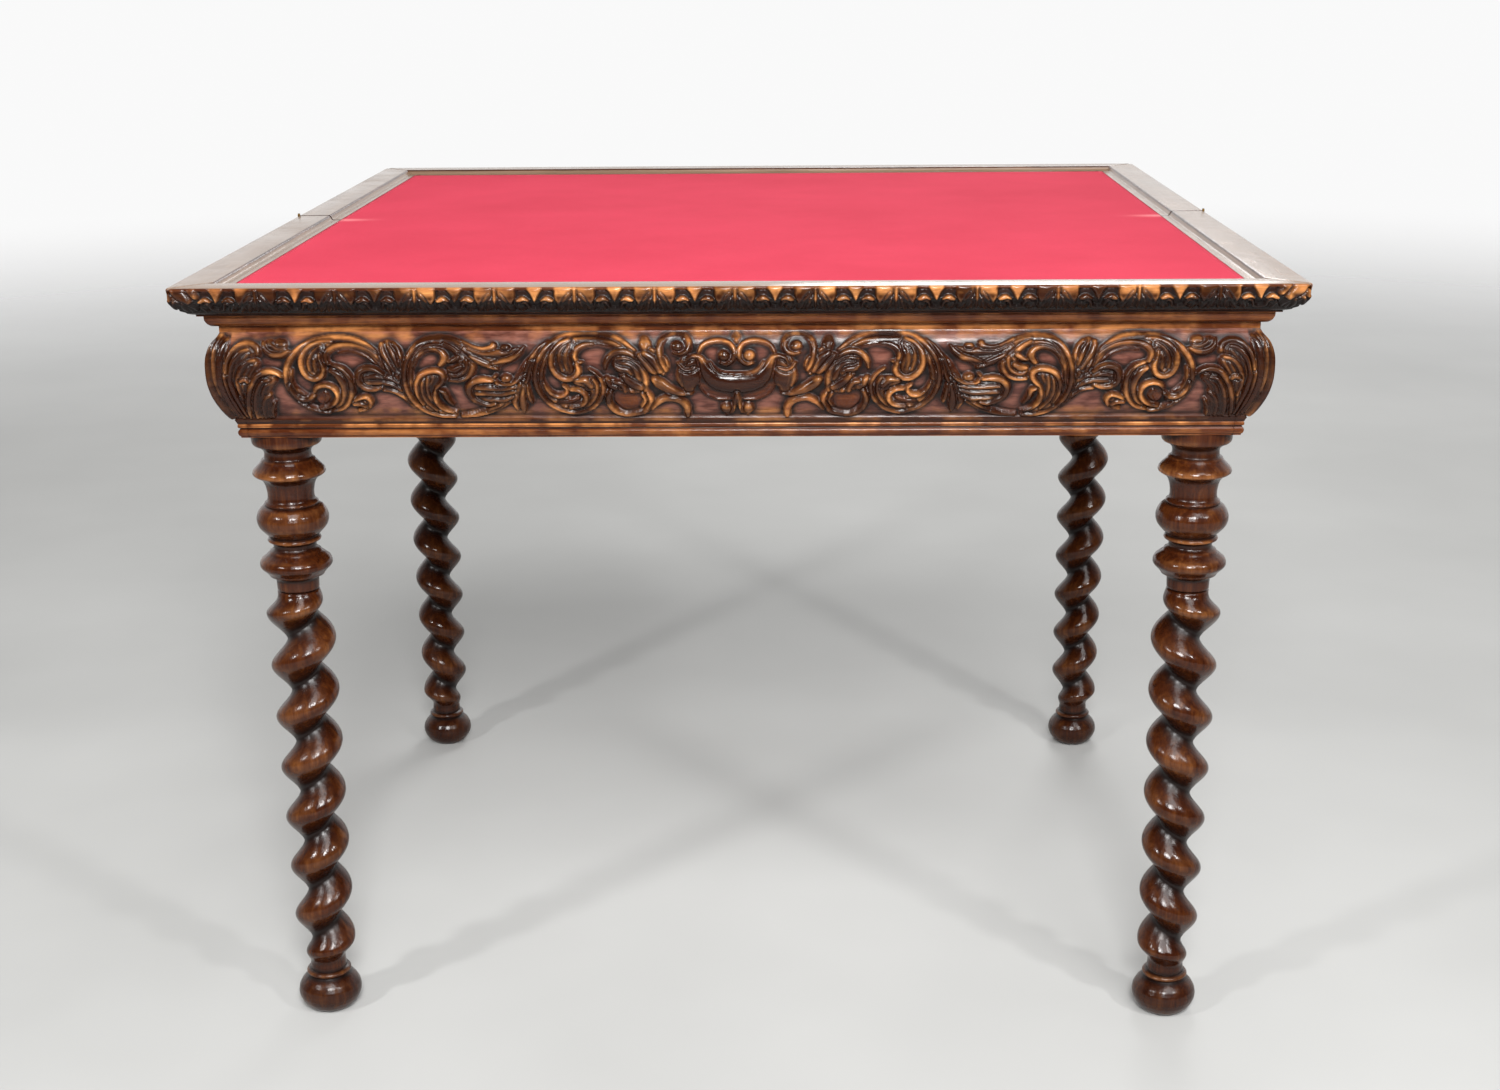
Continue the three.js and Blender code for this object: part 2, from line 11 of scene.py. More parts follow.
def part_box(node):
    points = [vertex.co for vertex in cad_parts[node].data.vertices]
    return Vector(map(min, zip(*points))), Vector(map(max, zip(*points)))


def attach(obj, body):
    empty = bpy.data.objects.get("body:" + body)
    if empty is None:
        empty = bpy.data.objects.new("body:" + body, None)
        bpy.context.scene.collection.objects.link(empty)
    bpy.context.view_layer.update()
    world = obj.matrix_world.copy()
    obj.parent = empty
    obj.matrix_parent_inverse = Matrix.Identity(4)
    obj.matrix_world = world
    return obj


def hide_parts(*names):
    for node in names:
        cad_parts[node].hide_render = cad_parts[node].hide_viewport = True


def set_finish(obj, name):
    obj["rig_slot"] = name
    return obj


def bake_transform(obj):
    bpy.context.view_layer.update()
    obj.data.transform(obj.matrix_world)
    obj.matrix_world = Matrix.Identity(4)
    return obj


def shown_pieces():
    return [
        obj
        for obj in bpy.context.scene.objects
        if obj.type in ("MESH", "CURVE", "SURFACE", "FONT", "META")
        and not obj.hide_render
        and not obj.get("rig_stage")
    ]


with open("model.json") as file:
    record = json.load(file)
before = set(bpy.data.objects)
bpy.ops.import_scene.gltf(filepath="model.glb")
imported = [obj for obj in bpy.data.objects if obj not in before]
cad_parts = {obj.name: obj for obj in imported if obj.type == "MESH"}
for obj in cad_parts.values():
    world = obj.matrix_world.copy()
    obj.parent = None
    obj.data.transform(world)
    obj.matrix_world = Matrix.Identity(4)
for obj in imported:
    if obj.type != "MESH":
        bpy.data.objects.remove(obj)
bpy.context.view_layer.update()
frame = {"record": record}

MM = 0.001

# Places read from the frame, in millimetres. An inset is measured in from the top's outer edge,
# and a drop down from the rim's top.
rail_low, rail_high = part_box("front_leaf_front_rail")
felt_low, felt_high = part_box("front_leaf_felt")
flip_felt_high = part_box("flip_leaf_felt")[1]
half_width = 500.0
leaf_depth = -rail_low.y / MM
rim_top = rail_high.z / MM
leaf_thickness = (rail_high.z - rail_low.z) / MM
apron_drop = rim_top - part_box("front_apron")[0].z / MM
base_drop = rim_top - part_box("front_base_moulding")[0].z / MM
side_run_end = leaf_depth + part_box("side_apron_left")[1].y / MM
side_rail_end = leaf_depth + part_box("front_leaf_side_rail_left")[1].y / MM

# Sizes of the top
end_rim_width = 30.0
side_rim_width = 34.0
rim_ogee_width = 6.0
end_rail_width = 47.0
side_rail_width = 47.0
recess_depth = 5.0
edge_arris = 3.0
leaf_undercut = 21.0

# Sizes of the aprons and their mouldings
fascia_inset = 36.0
fascia_depth = 17.0
bulge_inset = 23.5
apron_foot_inset = 43.0
inner_inset = 60.0
bed_depth = 11.0
base_reed_inset = 45.0
mitre_gap = 0.4
joint_arris = 2.6
joint_wear = 1.6
corner_wear = 2.4
corner_reach = 9.0
rim_quirk = 1.3
wide_step = 6.0
mitre_reach = 60.0

# Carving: how deep its ground lies below the highest ridges, the spacing of its mesh, and places along
# and down the carved faces
frieze_relief = 7.0
frieze_middle = 45.0
ground_hollow = 20.0
edge_relief = 4.0
frieze_step = 1.0
edge_step = 0.8
edge_unit = 70.0
first_vein = 80.0
corner_leaf_end = 45.0
rim_band = 2.6
foot_band = 29.0
edge_dark_below = 11.0
shade_blend = 6.0
scratch_down = 88.6
scratch_half = 0.8
fillet_down = 89.5
fillet_height = 0.6

# Wear, wax, stain and painted shade on the mouldings. Heights run from 0 at the carving's ground to 1 at its
# crests, fine and broad are how far a point stands above those near it, and the rest are shares.
rub_by_fine = 5.4
rub_by_broad = 1.8
rub_least = 0.44
rub_height = 0.4
strip_drop = 9.5
strip_rub = 0.9
dirt_and_shade_by_fine = 7.0
dirt_and_shade_by_broad = 3.4
shade_dirt = 0.9
shade_cover = 0.85
low_dirt_and_shade = 0.85
low_height = 0.42
open_height = 0.3
open_above = 12.0
open_below = 76.0
open_rub = 0.6
ground_height = 0.34
stain_height = 0.3
quirk_dirt_and_shade = 0.3

# Hinges
hinge_clear = 60.0
hinge_slack = 0.3
hinge_plate_top = 740.0
hinge_eye_seat = 4.3

# Legs
leg_x = 422.0
front_leg_y = -422.0
rear_leg_y = 295.0
leg_height = 600.0
head_height = 155.0
twist_pitch = 53.0
twist_bottom = 51.0
twist_top = leg_height - head_height
twist_valley = 14.0
twist_crest_low = 28.6
twist_crest_high = 31.9
twist_crest_heights = [80.0, 420.0]
twist_ease = 0.42
twist_lobe = 0.8
crest_height = 419.8
upper_neck = 19.8
lower_neck = 17.4
neck_change = 250.0
leg_ring_step = 1.25
leg_sides = 72
leg_stain = 0.6
# Darkening of the twist's valleys and coves with dirt and painted shade, rubbing of the crests, and darkening
# towards the foot
leg_dirt_and_shade = 0.66
leg_rub = 0.42
leg_dirt_and_shade_depth = 2.2
leg_rub_height = 2.5
foot_darkening = 0.35
tenon_radius = 11.0
tenon_length = 60.0

# Felt
felt_columns = 150
felt_rows = 56
fold_rows = 25
fold_reach = 6.0
felt_below_top = 0.25
ruck_height = 0.3
ruck_width = 2.2
least_ruck = 0.1
end_ruck = 0.7
end_ruck_reach = 30.0
pull_height = 0.12
pull_across = 31.0
pull_back = 47.0
flat_edge = 20.0
# Pale marks at the joint's ends: rubbed nap, and a painted highlight on the crease
rub_and_highlight_share = 0.75
rub_and_highlight_width = 8.0
rub_and_highlight_length = 26.0


# Lines and blends
def smooth_line(points, step):
    """A smooth line through given points, sampled about every step, with any width that they carry."""
    placed = np.array(points, float)
    if len(placed) < 3:
        count = max(2, int(np.linalg.norm(placed[-1] - placed[0]) / step) + 1)
        return np.linspace(placed[0], placed[-1], count)
    padded = np.vstack([2 * placed[0] - placed[1], placed, 2 * placed[-1] - placed[-2]])
    parts = []
    for k in range(len(placed) - 1):
        a, b, c, d = padded[k : k + 4]
        count = max(2, math.ceil(np.hypot(*(c - b)[:2]) / step))
        t = np.linspace(0, 1, count, endpoint=False)[:, None]
        bend = (2 * a - 5 * b + 4 * c - d) * t**2 + (3 * b - a - 3 * c + d) * t**3
        parts.append(0.5 * (2 * b + (c - a) * t + bend))
    return np.vstack([*parts, placed[-1:]])


def eased(value):
    """0 to 1 with a soft start and end."""
    t = np.clip(value, 0, 1)
    return t * t * (3 - 2 * t)


def softened(field, reach):
    """A field of heights averaged over a square of 2 * reach + 1 points."""
    for axis in (0, 1):
        ends = [(reach, reach) if k == axis else (0, 0) for k in (0, 1)]
        padded = np.pad(field, ends, mode="edge")
        total = np.cumsum(np.insert(padded, 0, 0, axis=axis), axis=axis)
        size = 2 * reach + 1
        first = np.take(total, range(size, total.shape[axis]), axis=axis)
        last = np.take(total, range(total.shape[axis] - size), axis=axis)
        field = (first - last) / size
    return field


# Cuts of the carver's tools: height of the crest, share of it left at the edges, width in millimetres
# of the trench beside it, the height of that trench's floor, and the depth of the flutes along it
BODY = (0.84, 0.45, 1.8, 0.0, 0.3)
DISH = (0.36, 0.6, 1.2, 0.0, 0.1)
BAND = (1.0, 0.35, 1.7, 0.12, 0.0)
RIB = (0.92, 0.45, 1.4, 0.3, 0.0)
VEIN = (0.86, 0.5, 1.2, 0.34, 0.0)
LOW = (0.55, 0.3, 1.2, 0.0, 0.0)
KNOB = (1.0, 0.25, 1.7, 0.0, 0.0)
PETAL = (0.95, 0.4, 1.4, 0.15, 0.0)
SCOOP = (0.04, 1.0, 1.0, 0.3, 0.0)

# Spacing of a stroke's flutes in millimetres, and how much wider than placed the frieze's strokes are cut
flute_pitch = 4.4
frieze_fullness = 1.14


def carved(across, down, strokes, fuller=1.0):
    """Heights, 0 at the ground and 1 at a crest, of strokes laid one over another. A fuller of more than
    1 widens them."""
    height = np.zeros(across.shape)
    for (crest, edge, trench, floor, flute), points in strokes:
        line = smooth_line(points, 1.2) * (1, 1, fuller)
        start, along = line[:-1], np.diff(line, axis=0)
        pad = line[:, 2].max() + trench + 0.5
        near = (across > line[:, 0].min() - pad) & (across < line[:, 0].max() + pad)
        near &= (down > line[:, 1].min() - pad) & (down < line[:, 1].max() + pad)
        x, s = across[near][:, None], down[near][:, None]
        run = (along[:, :2] ** 2).sum(1) + 1e-9
        t = np.clip(((x - start[:, 0]) * along[:, 0] + (s - start[:, 1]) * along[:, 1]) / run, 0, 1)
        away = np.hypot(x - start[:, 0] - t * along[:, 0], s - start[:, 1] - t * along[:, 1])
        piece = away.argmin(1)
        nearest = np.arange(len(x)), piece
        distance = away[nearest]
        width = start[piece, 2] + t[nearest] * along[piece, 2]
        section = edge + (1 - edge) * np.sqrt(np.clip(1 - (distance / width) ** 2, 0, 1))
        section *= 1 - flute * (0.5 + 0.5 * np.cos(2 * math.pi * distance / flute_pitch)) ** 2
        beside = floor + np.clip((distance - width) / trench, 0, 1)
        cut = np.minimum(height[near], np.where(distance < width + trench, beside, 2))
        height[near] = np.where(distance < width, crest * section, cut)
    return height


def bulged(height):
    """Broad forms swell towards their middle and thin ones lie lower."""
    mass = softened(softened(np.minimum(height / 0.5, 1), 4), 4)
    return height * (0.76 + 0.24 * mass)


# The frieze's left half: millimetres from the middle, millimetres down the face, half-width.
CARTOUCHE = [
    (DISH, [(-30, 50, 5), (-18, 60, 5), (0, 61, 5)]),
    (LOW, [(-34, 50, 1), (-29, 61, 1.4), (-16, 67.5, 1.6), (0, 66, 1.4)]),
    (RIB, [(-43, 31, 7), (-43.5, 42, 9.5), (-43, 50, 8.5), (-43, 54, 5)]),
    (VEIN, [(-51, 34, 1.2), (-51, 44, 1.4), (-49, 53, 1.2)]),
    (BAND, [(-52.5, 31, 1.2), (-49, 35.5, 1.6), (-44, 37.5, 1.6), (-37, 35.5, 1.3)]),
    (BAND, [(-46, 31, 1), (-44, 27, 1.7), (-38, 24.5, 2), (-33, 25.5, 2.4), (-30, 31, 3.4),
            (-26.5, 39, 5.4), (-20, 46.5, 7.2), (-11, 50, 8.2), (0, 51, 8.4)]),
    (VEIN, [(-24, 30, 0.8), (-19, 37, 1), (-12, 40.5, 1), (0, 41.5, 1)]),
    (BAND, [(-34, 21, 1.2), (-30.5, 14.5, 1.8), (-24, 10.8, 2), (-14, 9.5, 2), (-5.5, 13, 2),
            (-2, 20, 2), (-3, 27.5, 2), (-8.5, 32, 1.8), (-14, 31, 1.3)]),
    (KNOB, [(-11.5, 23.5, 4.6), (-11, 24.5, 4.6)]),
    (PETAL, [(0, 1, 1.6), (0, 5.5, 3.6), (0, 10, 1.8)]),
    (BAND, [(0, 59, 1.6), (-1.6, 66, 1.7), (-2.4, 74, 1.6), (-4.5, 81.5, 1.5), (-10, 85, 1.3)]),
    (KNOB, [(-10, 77, 4.6), (-10, 78.5, 4.6)]),
]
C_VOLUTE = [
    (BAND, [(-63, 38, 1.6), (-67, 30, 2.2), (-69, 20, 2.5), (-67.5, 11, 2.5), (-62, 5, 2.5),
            (-54, 2.8, 2.5), (-46.5, 5, 2.5), (-42.5, 11.5, 2.5), (-44, 19, 2.3), (-50, 22.3, 1.9),
            (-56, 21, 1.3)]),
    (KNOB, [(-53.5, 14.5, 4.4), (-52.5, 15, 4.4)]),
]
FLOWER = [
    (BAND, [(-77, 78, 1.5), (-72, 71, 2.6), (-66, 66.5, 3), (-60, 65.5, 3.2), (-53, 67, 3.2),
            (-47.5, 72, 3.2), (-45, 79, 3), (-45, 87, 2.4)]),
    (BAND, [(-73, 47, 3.4), (-69, 50.5, 4.8), (-61, 56, 4), (-51, 60, 2.6), (-40, 60.5, 1.3)]),
    (KNOB, [(-82, 8, 3.6), (-81.5, 12, 4.8), (-80, 17, 4.2)]),
    (BAND, [(-77, 17.5, 1.4), (-70, 22, 2.4), (-64.5, 28, 2.6), (-63, 35, 2.6), (-66, 40.5, 2)]),
    (PETAL, [(-86.5, 24, 3), (-82, 29, 4), (-77, 35, 4), (-73, 39, 3)]),
    (PETAL, [(-82, 22, 3), (-76, 26.5, 4), (-71, 32.5, 4.2), (-68.5, 37.5, 3.4)]),
]
HELMET_LEAF = [
    (DISH, [(-98, 66, 12), (-96, 74, 9)]),
    (BAND, [(-110, 54, 1.8), (-115, 62, 2.6), (-115, 72, 2.8), (-110, 80, 2.8), (-102, 84.5, 2.8),
            (-93, 84, 2.8), (-84, 80.5, 2.8), (-77.5, 73, 2.8), (-77.5, 65, 2.4), (-80.5, 59, 1.6)]),
    (VEIN, [(-85, 61, 1.4), (-82.5, 68, 1.5), (-86, 75, 1.2)]),
    (BODY, [(-106, 30, 5), (-97, 36, 9), (-92, 46, 10), (-93, 53, 8)]),
    (BODY, [(-112, 49, 4), (-104, 54, 4)]),
    (PETAL, [(-116.5, 45, 2), (-113.5, 50, 3.4), (-109, 54, 3)]),
    (RIB, [(-109, 49, 2), (-104, 50, 2.6), (-101, 54, 2.6), (-100, 58, 2)]),
    (RIB, [(-103, 42, 2), (-97.5, 45, 3), (-95, 51, 3.2), (-94, 57, 2.6)]),
    (RIB, [(-108, 27, 2), (-99, 26.5, 2.6), (-91, 30, 2.6), (-85, 37, 2.8), (-82, 46, 2.8),
           (-82.5, 57, 2.2)]),
    (RIB, [(-106, 32, 2), (-98, 31.5, 2.6), (-91.5, 36, 2.8), (-88, 44, 3), (-88, 57, 2.4)]),
    (PETAL, [(-108.5, 33.5, 2), (-104, 36.5, 3.2), (-97.5, 37.5, 2.8), (-94, 41, 1.5)]),
    (PETAL, [(-101, 43, 2.4), (-96.5, 47.5, 4), (-91, 51.5, 4.4), (-86, 54, 3.4)]),
    (BAND, [(-117.5, 36, 1.2), (-116.5, 29.5, 2.4), (-111, 22.5, 3), (-103, 20, 3.1), (-95, 22, 2.8),
            (-88, 27.5, 1.6)]),
]
SCROLL_C = [
    (BODY, [(-96, 20, 3), (-114, 9.5, 5.5), (-132, 6.5, 6), (-148, 9, 7.5)]),
    (BODY, [(-144, 48, 3), (-133, 51, 6), (-127, 59, 5), (-132, 70, 5), (-144, 75, 6), (-158, 70, 6),
            (-168, 62, 3)]),
    (BAND, [(-91, 19, 1.6), (-103, 9.5, 2.2), (-116, 4, 2.5), (-131, 1.8, 2.6), (-147, 3, 2.6),
            (-161, 8.5, 2.6),
            (-171.5, 18, 2.6), (-178, 30, 2.4), (-180.5, 43, 2.4), (-178, 57, 2.4), (-171, 68.5, 2.4),
            (-160, 77.5, 2.4), (-147, 81.5, 2.4), (-135, 78.5, 2.4), (-126, 71, 2.2), (-120.5, 61, 2.2),
            (-120, 50, 2), (-125, 41.5, 1.6), (-132, 36.5, 1)]),
    (RIB, [(-95, 21.5, 1), (-106, 14, 1.8), (-118, 9, 2.2), (-132, 7, 2.2), (-146, 8.5, 2.2),
           (-158, 13.5, 2.2),
           (-167, 22, 2.2), (-172.8, 32, 2.2), (-175, 43, 2.2), (-173, 54, 2.2), (-167, 64, 2.2),
           (-158, 71.5, 2.2),
           (-147, 76, 2.2), (-138, 74, 2.2), (-130.5, 68.5, 2), (-126, 60, 1.8), (-125.5, 52, 1.6),
           (-129, 45, 1.2)]),
    (RIB, [(-128, 12.8, 1.2), (-136, 13.5, 2), (-143, 18, 2.6), (-145.5, 25, 2.6), (-142.5, 30.5, 2),
           (-138, 30, 1)]),
    (BODY, [(-152, 13, 6), (-157, 25, 8.5), (-154, 36, 8.5)]),
    (VEIN, [(-150, 9.5, 1), (-157, 18, 1.4), (-158.5, 28, 1.5), (-155.5, 38, 1.2)]),
    (VEIN, [(-149, 14, 1), (-152.5, 22, 1.4), (-153, 31, 1.4), (-151, 38, 1)]),
    (BAND, [(-150, 8, 1.4), (-158, 12.5, 2.2), (-164, 20, 2.6), (-166, 30, 2.7), (-162.5, 39.5, 2.8),
            (-154.5, 45.5, 3), (-146.5, 44.5, 2.8), (-141.5, 38.5, 2.4), (-143, 31.5, 1.6)]),
    (RIB, [(-144, 47.5, 1.6), (-136, 47.5, 3), (-130.5, 52.5, 3)]),
    (BAND, [(-173, 49, 1.2), (-169, 57.5, 2), (-162, 62.5, 2.4), (-155, 61.5, 2.2), (-152, 56, 1.8),
            (-156, 52.5, 1.2)]),
    (BAND, [(-149, 56.5, 1.4), (-142, 57, 2.2), (-136.5, 61.5, 2.4), (-136, 68, 2.2), (-141, 73, 2),
            (-151, 76, 1.4)]),
    (LOW, [(-160, 70, 1.6), (-150, 69.5, 2.4), (-143, 66, 2)]),
]
STEM_B_TO_C = [
    (BODY, [(-246, 87, 1.6), (-228, 82, 3.5), (-207, 67, 5), (-194, 49, 6), (-185, 31, 4.5),
            (-173, 14, 2)]),
    (BODY, [(-196, 56, 3), (-195, 68, 6), (-194, 74, 5)]),
    (BODY, [(-234, 58, 7), (-222, 59, 9), (-208, 58, 7), (-199, 55, 4)]),
    (BODY, [(-242, 17, 3.5), (-230, 23, 7.5), (-216, 26, 8), (-204, 23, 5.5), (-195, 18, 2.5)]),
    (RIB, [(-250, 87, 1.2), (-234, 84.5, 1.8), (-219, 78, 2), (-206, 68.5, 2.2), (-197, 58, 2.2),
           (-190, 45, 2)]),
    (BAND, [(-226, 79, 1), (-214, 72, 1.8), (-203, 62, 2.4), (-194.5, 51, 2.6), (-188.5, 39, 2.6),
            (-183.5, 27, 2.2), (-177, 17, 1.8), (-168, 9.5, 1.3)]),
    (RIB, [(-192, 56, 1), (-187.5, 46, 1.8), (-184.5, 36, 1.8), (-182, 28, 1.2)]),
    (RIB, [(-188, 52, 1.2), (-187, 61, 2), (-185.5, 67.5, 2), (-184.5, 70.5, 1.2)]),
    (PETAL, [(-194, 50, 1.5), (-198.5, 60, 2.8), (-200, 69.5, 3), (-198, 77.5, 1.6)]),
    (PETAL, [(-191, 52, 1.5), (-193, 63, 2.8), (-193, 74, 3.4), (-192.5, 80.5, 1.6)]),
    (RIB, [(-206, 46, 4), (-207, 45.5, 4)]),
    (BAND, [(-189.5, 41, 1), (-197, 47.5, 1.5), (-205.5, 51.3, 1.7), (-213.5, 50.5, 1.7), (-218, 46, 1.5),
            (-215.5, 42, 1)]),
    (RIB, [(-236, 54, 1.6), (-225, 54.5, 2.4), (-211, 55.5, 2.4), (-198, 53.5, 1.4)]),
    (RIB, [(-235, 60, 1.6), (-224, 60, 2.4), (-211, 60.5, 2.4), (-199, 58, 1.4)]),
    (RIB, [(-230, 66, 1.6), (-220, 66.5, 2.4), (-209, 66.5, 2), (-201, 63, 1.2)]),
    (BAND, [(-219, 47, 1.6), (-228, 46.5, 2.8), (-236.5, 48.8, 3), (-241, 55.5, 3), (-239, 63.5, 3),
            (-232.5, 69, 2.8), (-224, 71.5, 2.4), (-217.5, 70, 1.4)]),
    (RIB, [(-240, 16, 2), (-229, 20, 3), (-216, 21, 3.2), (-204, 19.5, 2.6), (-195, 17, 1.4)]),
    (RIB, [(-238, 24, 1.6), (-228, 29.5, 3), (-219, 33.5, 2.6), (-213.5, 36, 1.2)]),
    (BAND, [(-219, 31.5, 1), (-210.5, 28.8, 2.4), (-201.5, 26.3, 2.8), (-194, 20.5, 2.4),
            (-189.5, 14.5, 1)]),
    (BAND, [(-246, 9, 1.2), (-236, 14.5, 1.6), (-227, 17, 1.9), (-219, 15.5, 2.6), (-217, 13, 2.8)]),
    (KNOB, [(-208, 15.5, 2.6), (-205, 15.5, 2.6)]),
]
SCROLL_B = [
    (BODY, [(-264, 9, 4), (-251, 13, 6), (-241, 25, 6.5), (-242, 38, 7), (-252, 43, 5.5)]),
    (BODY, [(-274, 44, 7), (-280, 56, 7.5), (-277, 68, 7), (-265, 79, 3.5)]),
    (BODY, [(-264, 58, 3), (-260, 67, 3), (-256, 72, 1.5)]),
    (BAND, [(-236, 38, 1), (-236.5, 27, 1.8), (-242, 16.5, 2.4), (-252, 9, 3), (-265, 6.3, 3.2),
            (-278, 8.3, 3),
            (-288.5, 16, 2.7), (-295.5, 28.5, 2.5), (-298, 42, 2.5), (-296.5, 56, 2.5), (-291, 68.5, 2.5),
            (-282, 78.5, 2.5), (-270, 85, 2.3), (-256, 86.5, 1.8)]),
    (RIB, [(-258, 13.5, 1), (-268, 12.3, 1.6), (-277, 14, 2), (-285.5, 21.5, 2), (-290.7, 32, 2),
           (-292.5, 43, 2),
           (-290.7, 56, 2), (-285.5, 66, 2), (-278, 75, 2), (-267.5, 80, 1.8), (-255, 82, 1.4)]),
    (RIB, [(-289, 33, 0.8), (-285.5, 24.5, 1.3), (-278.5, 18.5, 1.6), (-270, 17, 1.9), (-263.5, 20, 2.6),
           (-261.5, 26, 3), (-265.5, 32, 2)]),
    (RIB, [(-262, 7, 1), (-249, 12, 2), (-239.5, 21.5, 2.3), (-236.5, 33, 2.3), (-240, 42, 2.2),
           (-248.5, 47, 2), (-258, 47, 1.3)]),
    (RIB, [(-257, 11, 1.2), (-247, 18, 2), (-241.8, 26, 2), (-241.5, 34, 2), (-246, 40, 2),
           (-252.5, 42, 1.8), (-258.5, 39, 1.2)]),
    (BAND, [(-262, 11, 1.2), (-252.5, 17, 2.2), (-247, 24, 2.4), (-247, 30, 2.2), (-251, 33.5, 1.4)]),
    (PETAL, [(-258.5, 29.5, 0.8), (-253.5, 27.5, 2.2), (-249, 24.5, 2.6)]),
    (PETAL, [(-257.5, 36.5, 2), (-252, 36.5, 3.2), (-247, 33.5, 2.6)]),
    (RIB, [(-281.5, 45, 1.4), (-283, 56, 2), (-280, 67, 2), (-271.5, 78, 1.4)]),
    (RIB, [(-277, 44, 1.2), (-278, 55, 1.8), (-275, 66, 1.8), (-266, 77, 1.2)]),
    (BAND, [(-283, 71, 1.2), (-287.3, 61, 2), (-287.8, 50, 2.4), (-283.5, 42, 2.6), (-276, 38.3, 2.7),
            (-268, 38, 2.7),
            (-263.3, 42, 2.7), (-264.5, 48, 2.4), (-269.5, 54, 2.2), (-272, 62, 2.2), (-270.5, 70, 2),
            (-265, 77, 1.8), (-257, 81, 1.2)]),
    (BAND, [(-267, 56.5, 1.4), (-262.5, 59, 2.2), (-260.5, 65.5, 2.2), (-256, 72, 1.3)]),
]
STEM_A_TO_B = [
    (BODY, [(-287, 78, 2), (-297, 64, 5), (-303, 48, 6.5), (-309, 33, 6), (-314, 20, 5), (-312, 13, 5)]),
    (BODY, [(-333, 45, 6.5), (-322, 46, 8.5), (-309, 51, 6.5), (-298, 62, 4)]),
    (BODY, [(-343, 71, 3.5), (-337, 70, 5)]),
    (RIB, [(-284, 81, 1), (-293, 72, 1.8), (-300.5, 61, 2), (-306, 49, 2), (-311, 38, 1.6), (-315, 29, 1)]),
    (BAND, [(-289, 73, 1), (-296, 63, 2), (-301, 51.5, 2.4), (-305, 40, 2.2), (-309.5, 28.5, 1.8),
            (-313.5, 19, 1.2)]),
    (RIB, [(-295, 57, 1), (-298.5, 47, 1.8), (-300.5, 37, 1.6), (-301.5, 29, 1)]),
    (PETAL, [(-306, 38, 1.2), (-312, 28, 2.2), (-316.5, 18.5, 2.8), (-317.5, 11.5, 1.8)]),
    (PETAL, [(-303, 34, 1.2), (-306.5, 24, 2.4), (-310, 14.5, 2.8), (-312, 9, 1.4)]),
    (BAND, [(-300, 32, 1.4), (-300.5, 24, 2), (-303, 16.5, 2.4), (-307.5, 11, 2)]),
    (RIB, [(-334, 44, 1.4), (-325, 42.5, 2.4), (-313, 43.5, 2.4), (-303, 49, 1.4)]),
    (RIB, [(-334, 49.5, 1.4), (-324, 48.5, 2.4), (-311, 50, 2.4), (-300, 57, 1.4)]),
    (RIB, [(-318, 56, 1.4), (-308, 57.5, 2), (-298.5, 64, 2), (-290, 72, 1.2)]),
    (BAND, [(-316.5, 41, 1.2), (-323, 36.7, 2.2), (-331, 35.2, 2.8), (-338, 38, 3), (-340, 44.5, 3),
            (-338, 51, 3),
            (-332, 54.5, 2.9), (-324.5, 55, 2.4), (-318, 52.5, 1.4)]),
    (BAND, [(-345, 67, 1.2), (-339, 64, 1.8), (-333.5, 63.5, 2.2), (-330.5, 68.5, 2.2), (-333.5, 75, 2),
            (-343, 79, 1.2)]),
    (RIB, [(-346, 71, 1.8), (-339.5, 71, 2.6), (-335, 74.5, 1.4)]),
]
